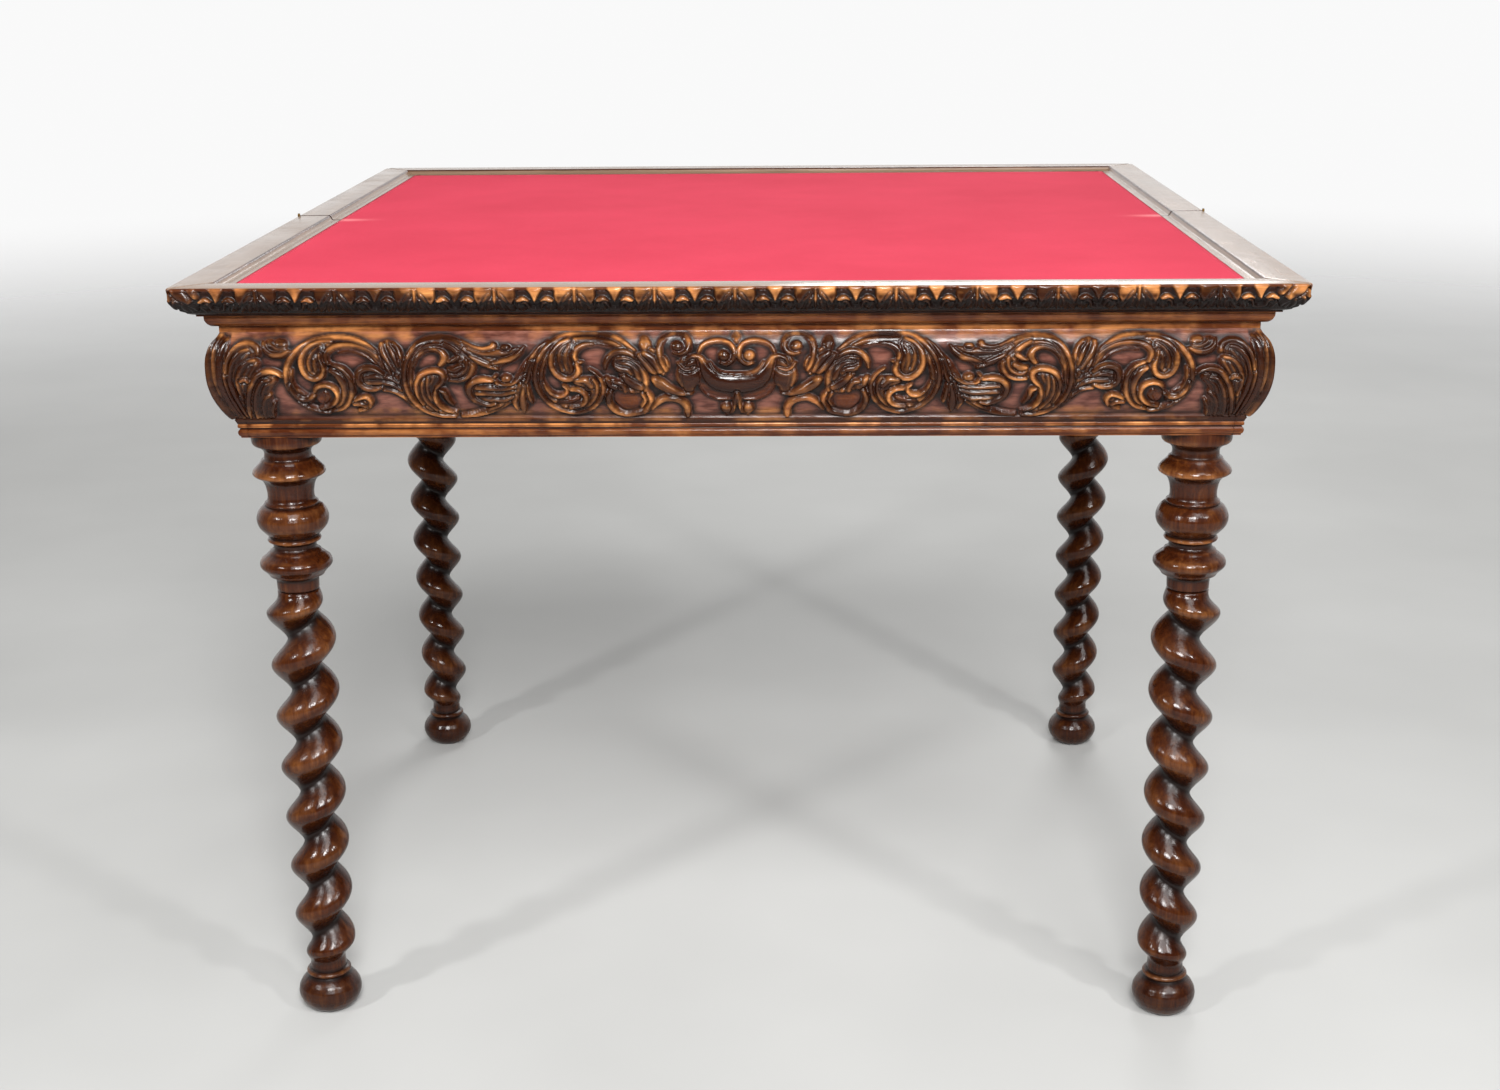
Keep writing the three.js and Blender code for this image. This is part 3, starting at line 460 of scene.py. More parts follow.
SCROLL_A = [
    (BODY, [(-316, 34, 2.5), (-326, 20, 4), (-341, 11, 5), (-358, 9.5, 5.5), (-374, 12, 6)]),
    (BODY, [(-374, 15, 5), (-381, 26, 8), (-380, 38, 7.5)]),
    (DISH, [(-371, 60, 9), (-370, 64, 9)]),
    (BODY, [(-360, 36, 4.5), (-352, 46, 6), (-350, 58, 6), (-356, 71, 5)]),
    (BODY, [(-402, 50, 2.5), (-396, 60, 5), (-387, 67, 4)]),
    (BAND, [(-313.5, 38, 1), (-318, 27, 2), (-326.5, 16.5, 2.4), (-338.5, 9, 2.6), (-352.5, 5.5, 2.6),
            (-368, 6, 2.6),
            (-383, 10.5, 2.6), (-394.5, 18.5, 2.6), (-402.5, 30.5, 2.5), (-404.7, 44, 2.5),
            (-401.8, 57.5, 2.5),
            (-395, 68, 2.3), (-385.5, 76.5, 2.2), (-372, 80.5, 2), (-359, 79, 1.4)]),
    (VEIN, [(-399.5, 36, 1), (-400, 46, 1.4), (-397, 56, 1.6), (-391.5, 62, 1.2)]),
    (RIB, [(-316, 31, 1), (-324, 21.5, 1.7), (-334.5, 15.5, 2.1), (-346.5, 12.8, 2.4), (-358.5, 13.8, 2.6),
           (-366, 18.5, 2.7), (-368, 25, 2.4), (-365.5, 30.5, 1.9), (-361.5, 31, 1)]),
    (LOW, [(-323, 31, 0.8), (-333, 22.5, 1.2), (-345, 18.5, 1.4), (-356, 19.5, 1.1)]),
    (VEIN, [(-371, 12.5, 1), (-379, 19, 1.5), (-383.5, 28, 1.7), (-383, 37, 1.2)]),
    (VEIN, [(-371, 17.5, 1), (-376.5, 24, 1.4), (-378, 31.5, 1.4), (-377, 38, 1)]),
    (BAND, [(-363, 8.5, 1.2), (-374.5, 9.8, 2), (-384.5, 16, 2.6), (-389.8, 25.5, 2.8), (-389.5, 35.5, 2.8),
            (-385, 42.7, 2.8), (-378.3, 45, 2.7), (-372.5, 41.5, 2.6), (-370.5, 34.5, 2.2),
            (-373, 27.5, 1.6),
            (-373.5, 21, 1.4)]),
    (BAND, [(-362.5, 31.5, 1.2), (-353.5, 35.5, 2.4), (-347.5, 44, 2.7), (-346.3, 54, 2.7),
            (-349, 65.5, 2.5),
            (-356, 75, 2.2), (-366, 79, 1.5)]),
    (RIB, [(-365, 37, 1.6), (-358, 41, 3.6), (-353.5, 49, 3.4), (-353, 58, 2.8), (-356.5, 68, 2.2),
           (-363, 74, 1.4)]),
    (BAND, [(-381, 62, 1.3), (-379, 55, 2), (-373, 51.5, 2.2), (-365.5, 52.5, 2.3), (-360.5, 58.5, 2.3),
            (-361, 66, 2.2), (-367, 72.5, 2), (-377, 76, 1.4)]),
    (LOW, [(-371, 59, 2), (-369, 64, 2.6), (-372, 69, 2)]),
    (BAND, [(-402.5, 50, 1), (-400, 58, 2.2), (-394, 64.5, 2.7), (-386.5, 65.5, 2.5), (-381, 61.5, 2)]),
]
CORNER_LEAVES = [
    (BODY, [(-418, 12, 5), (-411, 15, 6)]),
    (BODY, [(-462, 10, 6), (-468, 30, 9), (-466, 50, 9), (-458, 70, 9), (-452, 84, 8)]),
    (BODY, [(-440, 20, 8), (-450, 36, 9), (-452, 56, 9), (-446, 80, 7)]),
    (BODY, [(-433, 30, 5), (-440, 42, 6), (-444, 56, 6)]),
    (BODY, [(-418, 45, 5), (-428, 54, 8), (-431, 72, 10), (-431, 87, 10)]),
    (KNOB, [(-409, 10.5, 4.2), (-406.5, 11, 4.4)]),
    (BAND, [(-424, 9, 1), (-422, 17, 2.4), (-415.5, 21.5, 2.8), (-408, 21.5, 2.8), (-400.5, 18.5, 1.4)]),
    (RIB, [(-418.5, 8.5, 1.1), (-416, 13.5, 1.7), (-410, 16.8, 1.7), (-403, 16, 1)]),
    (RIB, [(-436.5, 87, 2), (-436, 71, 2.6), (-433, 57, 2.6), (-427.5, 48, 2), (-420, 45.5, 1.3)]),
    (RIB, [(-429, 87, 1.6), (-429, 75, 2), (-426, 65, 2), (-420.5, 60.5, 1.4)]),
    (RIB, [(-421.5, 87, 1.2), (-421, 77, 1.8), (-417.5, 68.5, 1.2)]),
    (BAND, [(-443, 88, 1.8), (-442.3, 75, 2.4), (-440.5, 62, 2.7), (-436.5, 50.5, 2.9), (-429.5, 41, 2.9),
            (-420.5, 37.8, 2.8), (-412.5, 39.5, 2.1), (-406.5, 44.5, 1.2)]),
    (RIB, [(-449, 87, 1.6), (-454.5, 72, 2), (-459, 56, 2.4), (-461.5, 40, 2), (-461, 30, 1.2)]),
    (RIB, [(-445.5, 85, 1.4), (-450, 70, 2), (-454.5, 56, 2.4), (-456.5, 42, 2.4), (-452.5, 29, 2.6),
           (-445, 20, 2.6), (-437, 16.5, 1.8)]),
    (RIB, [(-446, 64, 1.4), (-449, 50, 2.2), (-446.5, 38, 2.6), (-439.5, 29.5, 2.4), (-431.5, 27, 1.6)]),
    (PETAL, [(-446, 46.5, 2), (-442, 45, 2.6), (-439.5, 47.5, 1.6)]),
    (BAND, [(-459.5, 39, 1.2), (-457, 27, 2), (-451.3, 17.5, 2.4), (-443.5, 11.5, 2.6), (-435.5, 11, 2.8),
            (-429.5, 15.5, 3), (-428.5, 20.5, 2.4)]),
    (RIB, [(-456, 6.5, 1.6), (-461.5, 14, 2.6), (-465, 26, 3), (-466.5, 40, 3), (-465, 54, 2.8),
           (-460, 69, 2.4), (-453.5, 83, 1.8)]),
    (RIB, [(-462, 2.5, 2), (-468.5, 11, 2.6), (-471.5, 24, 2.4), (-472.5, 38, 2.2), (-471, 52, 2.2),
           (-466, 68, 2.2), (-459, 84, 1.8)]),
    (BAND, [(-466, 2, 1.6), (-474.5, 17, 2.8), (-477, 36, 3.2), (-474.5, 55, 3), (-467, 73, 2.6),
            (-459.5, 89, 2)]),
]
FRONT_FRIEZE = [
    *CORNER_LEAVES, *SCROLL_A, *STEM_A_TO_B, *SCROLL_B, *STEM_B_TO_C, *SCROLL_C, *HELMET_LEAF, *FLOWER,
    *C_VOLUTE, *CARTOUCHE,
]

# The leaf edge: half a tongue and its strap, from the tongue's middle, and down the edge
TONGUE = [
    (BODY, [(-13, 22, 5), (-12, 28, 5)]),
    (SCOOP, [(-13.2, 5.4, 1.6), (-10, 5.2, 2.2), (-7, 8.6, 2)]),
    (SCOOP, [(0, 13, 5), (0, 18, 4.4), (0, 23, 3)]),
    (PETAL, [(-14.8, 12.6, 2.2), (-11, 11.8, 3.6), (-7.6, 13.6, 3)]),
    (RIB, [(-14.6, 19, 1.1), (-12.6, 24, 1.6), (-11.6, 29, 1.6)]),
    (BAND, [(-12.4, 16.6, 0.9), (-8.6, 14.6, 1.3), (-6.2, 18.4, 1.6), (-5, 24, 1.7), (0, 27.6, 1.8)]),
    (PETAL, [(0, 0, 9.4), (0, 3.4, 6.2), (0, 7, 3.6), (0, 10.6, 1.8), (0, 14, 0.7)]),
]


def moved(strokes, across):
    """Strokes carried sideways along the edge."""
    return [(tool, [(x + across, down, width) for x, down, width in points]) for tool, points in strokes]


# The broad leaf beside a vein at 0, and the leaf that turns the table's corner
EDGE_LEAF = [
    (BODY, [(7, 12, 6), (9, 22, 8), (10, 29, 8)]),
    (RIB, [(5, 15, 1.8), (6, 21, 2.2), (8, 29, 1.8)]),
    (RIB, [(11, 16, 1.8), (12, 22, 2.2), (15, 29, 1.8)]),
    (PETAL, [(9, 1, 7.6), (10.4, 5.6, 7.8), (12.2, 10.6, 6), (13.8, 15.6, 2.4)]),
    (VEIN, [(5, 6, 1.2), (8, 10, 1.6), (11, 15, 1.2)]),
    (BAND, [(0, 1, 1.9), (0, 9, 1.7), (0, 18, 1.3), (0, 29, 0.9)]),
    *moved(TONGUE, edge_unit / 2),
]
EDGE_CORNER_LEAF = [
    (BODY, [(0, 14, 8), (8, 22, 12), (14, 28, 12)]),
    (BAND, [(0, 30, 2.4), (0, 18, 2.4), (0, 6, 1.8)]),
    (RIB, [(7, 28, 2), (6, 20, 2.6), (7, 12, 2)]),
    (RIB, [(17, 28, 2), (14.5, 20, 2.6), (15, 13, 2)]),
    (PETAL, [(7, 1, 5), (11, 5, 5.4), (17, 10, 4), (20, 14, 2)]),
    (PETAL, [(21, 1, 3), (23.4, 4, 3.4), (26, 8, 2)]),
    *moved(TONGUE, corner_leaf_end),
]


def with_fillet(height, down):
    """The frieze's foot is a plain fillet, parted from the carving by a scratched line."""
    fillet = np.where(down > fillet_down, fillet_height, height)
    return np.where(np.abs(down - scratch_down) < scratch_half, np.minimum(fillet, 0.0), fillet)


def front_frieze(reach, down):
    """Carving of the front apron, by the distance from the table's side edge."""
    return with_fillet(bulged(carved(reach - half_width, down, FRONT_FRIEZE, frieze_fullness)), down)


def side_frieze(reach, down):
    """Carving of a side apron: corner leaves and a scroll at both ends, the cartouche between them."""
    middle = (bulge_inset + side_run_end) / 2
    folded = middle - np.abs(reach - middle)
    ends = carved(folded - half_width, down, [*CORNER_LEAVES, *SCROLL_A], frieze_fullness)
    centre = carved(folded - middle, down, [*C_VOLUTE, *CARTOUCHE], frieze_fullness)
    return with_fillet(bulged(np.maximum(ends, centre)), down)


def leaf_edge(reach, down):
    """Carving of the leaves' edge: repeated leaves and tongues, and a leaf that turns each corner."""
    since_vein = np.mod(reach - first_vein, edge_unit)
    folded = np.minimum(since_vein, edge_unit - since_vein)
    leaves = carved(folded, down, EDGE_LEAF)
    corner = carved(reach, down, EDGE_CORNER_LEAF)
    height = np.where(reach < corner_leaf_end, corner, leaves)
    rim = eased((rim_band - down) / 1.4)
    foot = eased((down - foot_band) / 2.5)
    return np.maximum(height, np.maximum(rim, foot))


def side_leaf_edge(reach, down):
    """The carving of the leaf edge along a side, which stays plain beside the brass hinges."""
    height = leaf_edge(reach, down)
    clear = eased((reach - (leaf_depth - hinge_clear - 6)) / 6)
    return height + (1 - height) * clear


# Meshes
def placed(name, mesh, body, slot, *replaced):
    """An object that shows a mesh, rides on a body and stands for the solids that it replaces."""
    made = bpy.data.objects.new(name, mesh)
    bpy.context.collection.objects.link(made)
    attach(made, body)
    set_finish(made, slot)
    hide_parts(*replaced)
    return made


def smooth_mesh(name, points, faces):
    """A smooth-shaded mesh from points in millimetres."""
    mesh = bpy.data.meshes.new(name)
    mesh.from_pydata((np.asarray(points) * MM).tolist(), [], faces)
    mesh.update()
    mesh.shade_smooth()
    return mesh


def keep_values(mesh, **fields):
    """Stores fields of one number a point, which the materials read by name."""
    for name, values in fields.items():
        kept = mesh.attributes.new(name, "FLOAT", "POINT")
        kept.data.foreach_set("value", np.ravel(values).astype(np.float32))


def crease(mesh, columns, sharp_rows):
    """Keeps an edge crisp where it runs along one of the sharp rows, or round an end."""
    ends = np.zeros(len(mesh.edges) * 2, int)
    mesh.edges.foreach_get("vertices", ends)
    first, last = ends.reshape(-1, 2).T
    same_row = first // columns == last // columns
    along = same_row & np.isin(first // columns, sharp_rows)
    at_start = (first % columns == 0) & (last % columns == 0)
    at_end = (first % columns == columns - 1) & (last % columns == columns - 1)
    sharp = mesh.attributes.new("sharp_edge", "BOOLEAN", "EDGE")
    sharp.data.foreach_set("value", along | at_start | at_end)


def anti_aliased(relief, reach, down, carved_rows):
    """Heights of the carving, averaged round each point. Plain rows take their nearest carved row's."""
    quarter = 0.25
    first, last = np.flatnonzero(carved_rows)[[0, -1]]
    rows = slice(first, last + 1)
    shifts = [(along, over) for along in (-quarter, quarter) for over in (-quarter, quarter)]
    height = sum(relief(reach[rows] + along, down[rows] + over) for along, over in shifts) / len(shifts)
    return height[np.clip(np.arange(len(reach)) - first, 0, last - first)]


def wear(rows, height, at_joint, relief, dark_below):
    """Fields of how far each point of a moulded board is rubbed, stained, dirty and painted with shade, sunk,
    and paled by sun and by painted reflection.

    Plain mouldings are rubbed along their reeds and dark in their quirks with dirt and painted shade. The
    leaf edge is rubbed along its top strip, and dark below, where it faces the floor, with wax and painted
    shade.
    Hollows of the carving, the rim's quirk and the arris at the joint are dark with dirt and painted shade.
    On an apron the open ground and the fascia are rubbed too."""
    inset, drop, down, depth = rows
    carving = depth > 0
    on_rim = ~carving & (drop <= recess_depth) & (inset > edge_arris - 0.1)
    quirk = on_rim & (drop > 0.05) & (drop < rim_quirk) & (inset > 2 * edge_arris)
    if relief is None:
        face = np.minimum(inset, base_reed_inset + 1)
        proud = softened(face, 3) - face + 0 * height
        ridge = np.clip(proud * 2, 0, 1)
        # The quirks between the reeds darken with dirt and painted shade
        hollow = np.clip(-proud * 1.6, 0, 1)
    else:
        # Where the carving faces the floor, below dark_below, it darkens with its wax and with painted shade
        shaded = eased((down - dark_below) / shade_blend) if dark_below else 0
        fine = height - softened(height, 2)
        broad = height - softened(height, 6)
        ridge = np.clip(fine * rub_by_fine + broad * rub_by_broad - rub_least, 0, 1)
        ridge = ridge * eased((height - rub_height) / 0.3) * (1 - shade_cover * shaded)
        if dark_below:
            strip = eased((strip_drop - drop) / 4) * eased((height - rub_height) / 0.25)
            ridge = np.maximum(ridge, strip_rub * (strip * (inset < edge_arris + 1)))
        ridge = softened(ridge, 1)
        # Hollows beside higher carving darken with wax, dirt and painted shade, and so does carving that
        # faces the floor
        hollow = softened(np.clip(-fine * dirt_and_shade_by_fine - broad * dirt_and_shade_by_broad, 0, 1), 1)
        hollow = np.clip(hollow + shade_dirt * shaded * (1 - 0.4 * ridge), 0, 1)
        if dark_below:
            # The low ground between the leaf edge's lobes darkens with wax and painted shade
            hollow = np.maximum(hollow, low_dirt_and_shade * eased((low_height - height) / 0.2))
            ridge = np.where(carving | (drop <= recess_depth), ridge, 0)
        else:
            beside_carving = eased((open_above - down) / 8) + eased((down - open_below) / 8)
            open_ground = eased((open_height - height) / 0.2) * beside_carving
            fascia = drop > leaf_thickness + bed_depth
            ridge = np.where(carving, np.maximum(ridge, open_rub * open_ground), open_rub * fascia)
        # The rim's quirk darkens with dirt and painted shade
        hollow = np.where(carving, hollow, quirk_dirt_and_shade * quirk)
    clean = 1 - np.ceil(at_joint)
    return {
        "crest": ridge * clean,
        "raised": np.where(carving, eased((height - stain_height) / 0.3), 0),
        # The arris at the leaves' joint darkens with dirt and painted shade
        "hollow": np.maximum(hollow, at_joint**0.3),
        "ground": np.where(carving, eased((ground_height - height) / 0.2), 0) * (dark_below is None),
        # The flat rim and ledge go pale: paled by sun and by a painted grazing reflection
        "faded": np.where(on_rim & ~quirk, clean, 0) + 0 * height,
    }


def moulding(name, rows, sharp_rows, stations, place, relief, replaced, dark_below=None, joint=None):
    """A moulded board of rows of (inset, drop, carving down, carving depth) round its section.

    place gives x and y for a station and an inset, and relief the carving's height. Carving that faces
    the floor, below dark_below, is dark with its wax and with painted shade. The arris at the leaves' joint
    is worn and dirty, and darkened with painted shade."""
    rows = np.array(rows, float).T[:, :, None]
    inset, drop, down, depth = rows
    turn_in = np.gradient(inset, axis=0)
    turn_down = np.gradient(drop, axis=0)
    size = np.hypot(turn_in, turn_down) + 1e-9
    stations = stations[None, :]
    at_joint = np.clip((stations - joint) / joint_arris + 1, 0, 1) if joint else 0 * stations
    reach = place(stations, inset)[2]
    down_all = np.broadcast_to(down, reach.shape)
    height = anti_aliased(relief, reach, down_all, depth > 0) if relief else np.ones(reach.shape)
    rounded = corner_wear * eased(1 - reach / corner_reach) ** 2 if dark_below else 0
    sunk = (1 - height) * depth + joint_wear * at_joint**2 + rounded
    x, y, _ = place(stations, inset + sunk * turn_down / size)
    points = np.stack([x, y, rim_top - (drop - sunk * turn_in / size)], axis=-1)
    count, columns = reach.shape
    index = np.arange(count * columns).reshape(count, columns)
    after = np.roll(index, -1, axis=0)
    quads = np.stack([index[:, :-1], after[:, :-1], after[:, 1:], index[:, 1:]], axis=-1).reshape(-1, 4)
    faces = [*quads.tolist(), index[:, 0][::-1].tolist(), index[:, -1].tolist()]
    mesh = smooth_mesh(name, points.reshape(-1, 3), faces)
    crease(mesh, columns, sharp_rows)
    keep_values(mesh, **wear(rows, height, at_joint, relief, dark_below))
    return placed(name, mesh, "frame", "carved_oak", replaced)


def front_place(stations, inset):
    """Across the front: mitred at both ends. Gives x, y and the distance from the nearer side edge."""
    half = half_width - mitre_gap
    near_end = eased((np.abs(stations) - half + mitre_reach) / mitre_reach)
    x = stations - np.sign(stations) * near_end * inset
    return x, -leaf_depth + inset + 0 * stations, half_width - np.abs(x)


def side_place(reach_limit):
    """Along the left side from its mitre back: stations are distances from the front edge."""

    def place(stations, inset):
        near_end = 1 - eased(stations / mitre_reach)
        y = stations + near_end * np.minimum(inset, reach_limit)
        return -half_width + inset + 0 * stations, -leaf_depth + y, y

    return place


across_table = Vector((1, 0, 0))
front_to_back = Vector((0, 1, 0))


def mirrored(source, name, axis, body, replaced):
    """A copy of a finished piece on the table's other side."""
    mesh = source.data.copy()
    mesh.transform(Matrix.Scale(-1, 4, axis))
    mesh.flip_normals()
    mesh.name = name
    return placed(name, mesh, body, "carved_oak", replaced)


def section(points, step, down=0, depth=0.0):
    """Evenly spaced rows of a section through (inset, drop) points. down is where the carving starts
    on its face, and depth how far the carving's ground is sunk."""
    line = smooth_line(points, step)
    steps = np.hypot(*np.diff(line, axis=0).T)
    length = np.concatenate([[0], np.cumsum(steps)])
    even = np.linspace(0, length[-1], max(2, round(length[-1] / step) + 1))
    line = np.stack([np.interp(even, length, line[:, k]) for k in (0, 1)], axis=-1)
    line = np.clip(line, np.min(points, axis=0), np.max(points, axis=0))
    carving_down = even + down
    return [(inset, drop, at, depth) for (inset, drop), at in zip(line, carving_down)]


def plain(*points):
    """Rows of a section without carving."""
    return [(inset, drop, 0.0, 0.0) for inset, drop in points]


def rail_section(rim_width, rail_width):
    """The moulded and carved edge outside, then the rim, its ogee and the ledge that the felt meets."""
    edge = [(0, 3), (0, 11.25), (0.7, 13.6), (2.7, 16), (6.3, 19.3), (10.9, 22.5), (17.4, 25.3), (21, 26.5)]
    arris = plain((edge_arris, 0.0), (1.6, 0.35), (0.5, 1.3))
    carving = section(edge, edge_step, down=edge_arris, depth=edge_relief)
    under = plain((leaf_undercut, leaf_thickness), (rail_width, leaf_thickness))
    ledge = plain((rail_width, recess_depth), (rim_width + rim_ogee_width, recess_depth))
    ogee = [(5.0, 4.9), (4.4, 4.6), (3.6, 3.9), (2.8, 2.4), (2.1, 1.1), (1.4, 0.45), (0.6, 0.1)]
    rim = plain(*[(rim_width + across, drop) for across, drop in ogee], (rim_width - 0.4, 0.0))
    rows = [*arris, *carving, *under, *ledge, *rim]
    at_foot = len(arris) + len(carving)
    return rows, [at_foot - 1, at_foot, at_foot + 1, at_foot + 2, at_foot + 3]


def sunk_row(inset, drop, down, depth):
    """The ground leaves the fascia in a hollow, meets the foot flush, and is sunk in full between them."""
    lowest = bulge_inset + frieze_relief
    hollow = lowest + (fascia_inset - lowest) * max(0, 1 - down / ground_hollow) ** 2
    flush = hollow if down < frieze_middle else apron_foot_inset + 0.8
    return inset, drop, down, min(depth, max(flush - inset, 0.05))


def apron_section():
    """A plain fascia over a bulging carved frieze."""
    top = leaf_thickness + fascia_depth
    face = [
        (36, 0), (34, 3.4), (28, 10.3), (24.4, 20.6), (23.5, 32.7), (24.4, 46.4), (28.5, 62.8), (34.8, 75.7),
        (43, 86),
    ]
    fascia = plain((fascia_inset, leaf_thickness), (fascia_inset, top - 0.6))
    face = [(inset, top + drop) for inset, drop in face]
    frieze = [sunk_row(*row) for row in section(face, frieze_step, down=0, depth=frieze_relief)]
    back = plain((inner_inset, apron_drop), (inner_inset, leaf_thickness))
    rows = [*fascia, *frieze, *back]
    at_foot = 1 + len(frieze)
    return rows, [0, 1, at_foot, at_foot + 1, at_foot + 2]


def bed_section():
    """The ovolo and fillet under the leaf."""
    points = [(26, 0), (26, 2.4), (26.2, 4), (26.9, 6), (28.3, 8.2), (30.3, 9.9), (32.4, 10.8), (36, 11)]
    face = section([(inset, leaf_thickness + drop) for inset, drop in points], 0.7)
    rows = [*plain((fascia_inset, leaf_thickness)), *face]
    return rows, [0, 1, len(rows) - 1]


def base_section():
    """Two reeds with a quirk between them."""
    points = [
        (43.6, 0), (43.1, 0.5), (43, 1.6), (43, 3), (44.4, 4), (45, 4.4), (44.2, 5.2), (43.2, 6.6), (43, 8),
        (43.3, 9.6), (44.2, 11.2), (45, 11.8), (45, 13),
    ]
    face = section([(inset, apron_drop + drop) for inset, drop in points], 0.6)
    rows = [*plain((inner_inset, apron_drop)), *face, *plain((inner_inset, base_drop))]
    return rows, [0, 1, len(rows) - 2, len(rows) - 1]


def front_stations(step):
    """Even steps across the front."""
    half = half_width - mitre_gap
    return np.linspace(-half, half, round(2 * half / step) + 1)


def side_stations(step, end):
    """Even steps back from the front corner, and closer ones over the arris at the joint."""
    even = np.linspace(0, end - joint_arris, round((end - joint_arris) / step) + 1)
    return np.concatenate([even, end - joint_arris * np.array([0.7, 0.45, 0.25, 0.1, 0])])


def around_frame(kind, solids, section_of, step, front_relief=None, side_relief=None):
    """A moulded board across the front and one along each side, in the place of the solid ones."""
    rows, sharp_rows = section_of()
    moulding(f"front_{kind}", rows, sharp_rows, front_stations(step), front_place,
             front_relief, f"front_{solids}")
    left = moulding(f"side_{kind}_left", rows, sharp_rows, side_stations(step, side_run_end),
                    side_place(inner_inset), side_relief, f"side_{solids}_left")
    mirrored(left, f"side_{kind}_right", across_table, "frame", f"side_{solids}_right")


def hinge_pocket(rail):
    """Cuts the seat of the brass hinge, its plate and its eye, into a side rail's end."""
    low, high = (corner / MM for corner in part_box("hinge_fixed_half_left"))
    outside, behind = low.x - 1, 2
    inside = high.x + hinge_slack
    plate_top = hinge_plate_top + hinge_slack
    plate = (outside, low.y - hinge_slack, low.z - hinge_slack), (inside, behind, plate_top)
    eye = (outside, -hinge_eye_seat, low.z), (inside, behind, high.z + 2)
    for corner, far in (plate, eye):
        size = np.subtract(far, corner)
        bpy.ops.mesh.primitive_cube_add(size=1)
        tool = bpy.context.active_object
        tool.data.transform(Matrix.Diagonal(Vector((*(size * MM), 1))))
        tool.data.transform(Matrix.Translation(Vector((np.add(corner, far) / 2 * MM).tolist())))
        cut = rail.modifiers.new("seat", "BOOLEAN")
        cut.object = tool
        cut.operation = "DIFFERENCE"
        cut.solver = "EXACT"
        bpy.context.view_layer.objects.active = rail
        bpy.ops.object.modifier_apply(modifier=cut.name)
        bpy.data.objects.remove(tool)


def rails():
    """The carved edges of both leaves. The flip leaf's mirror those of the front leaf."""
    front = moulding("front_rail_carved_edge", *rail_section(end_rim_width, end_rail_width),
                     front_stations(edge_step), front_place, leaf_edge, "front_leaf_front_rail",
                     dark_below=edge_dark_below)
    mirrored(front, "back_rail_carved_edge", front_to_back, "flip_leaf", "flip_leaf_back_rail")
    left = moulding("front_side_rail_carved_edge_left", *rail_section(side_rim_width, side_rail_width),
                    side_stations(edge_step, side_rail_end), side_place(end_rail_width), side_leaf_edge,
                    "front_leaf_side_rail_left", dark_below=edge_dark_below, joint=side_rail_end)
    hinge_pocket(left)
    right = mirrored(left, "front_side_rail_carved_edge_right", across_table, "frame",
                     "front_leaf_side_rail_right")
    for side, source in (("left", left), ("right", right)):
        mirrored(source, f"flip_side_rail_carved_edge_{side}", front_to_back, "flip_leaf",
                 f"flip_leaf_side_rail_{side}")


# Legs: radius down from the top of the turned head, and up from the floor in the foot
HEAD = [
    (0, 32.5), (8, 32.5), (11, 32), (12.6, 30.5), (13.4, 27.5), (16, 24.4), (18, 22.2), (21, 21.5),
    (25, 21.9), (26.4, 22.4), (27, 24.8), (29.6, 25.6), (30.2, 26.8), (32, 28.1), (34, 30.2), (37, 33),
    (40, 33.8), (42, 33), (43.4, 29.6), (46, 26.2), (49, 23.9), (53, 22.6), (59, 21.6), (64, 21.6),
    (67.4, 22.6), (68, 24.8), (70.8, 25.2), (71.4, 24.4), (72, 26.8), (74, 29.5), (78, 32), (83, 33.6),
    (87, 33.4), (91, 32.2), (94, 30.2), (97, 27.4), (100, 24.4), (101.6, 22.7), (102.6, 22.8),
    (103.4, 24.4), (105, 25), (106.6, 24.3), (107.4, 21.4), (109, 20.1), (113, 19.9), (115, 21.8),
    (115.8, 23.8), (118.6, 25.4), (119.4, 26.8), (121.4, 29.2), (124, 32.5), (127, 33.8), (130, 33.8),
    (132, 32.8), (135, 29.6), (138, 26.8), (140, 25.8), (140.8, 22), (143.5, 20), (155, 19.6),
]
FOOT = [
    (0, 19), (2.5, 22.4), (6, 26), (11, 29.2), (16, 31), (20, 31.3), (25, 30.4), (30, 27.8), (34, 24.4),
    (37, 21), (38, 20), (39, 21.6), (40.6, 22.3), (42.4, 21.4), (43.4, 18), (51, 17.5),
]


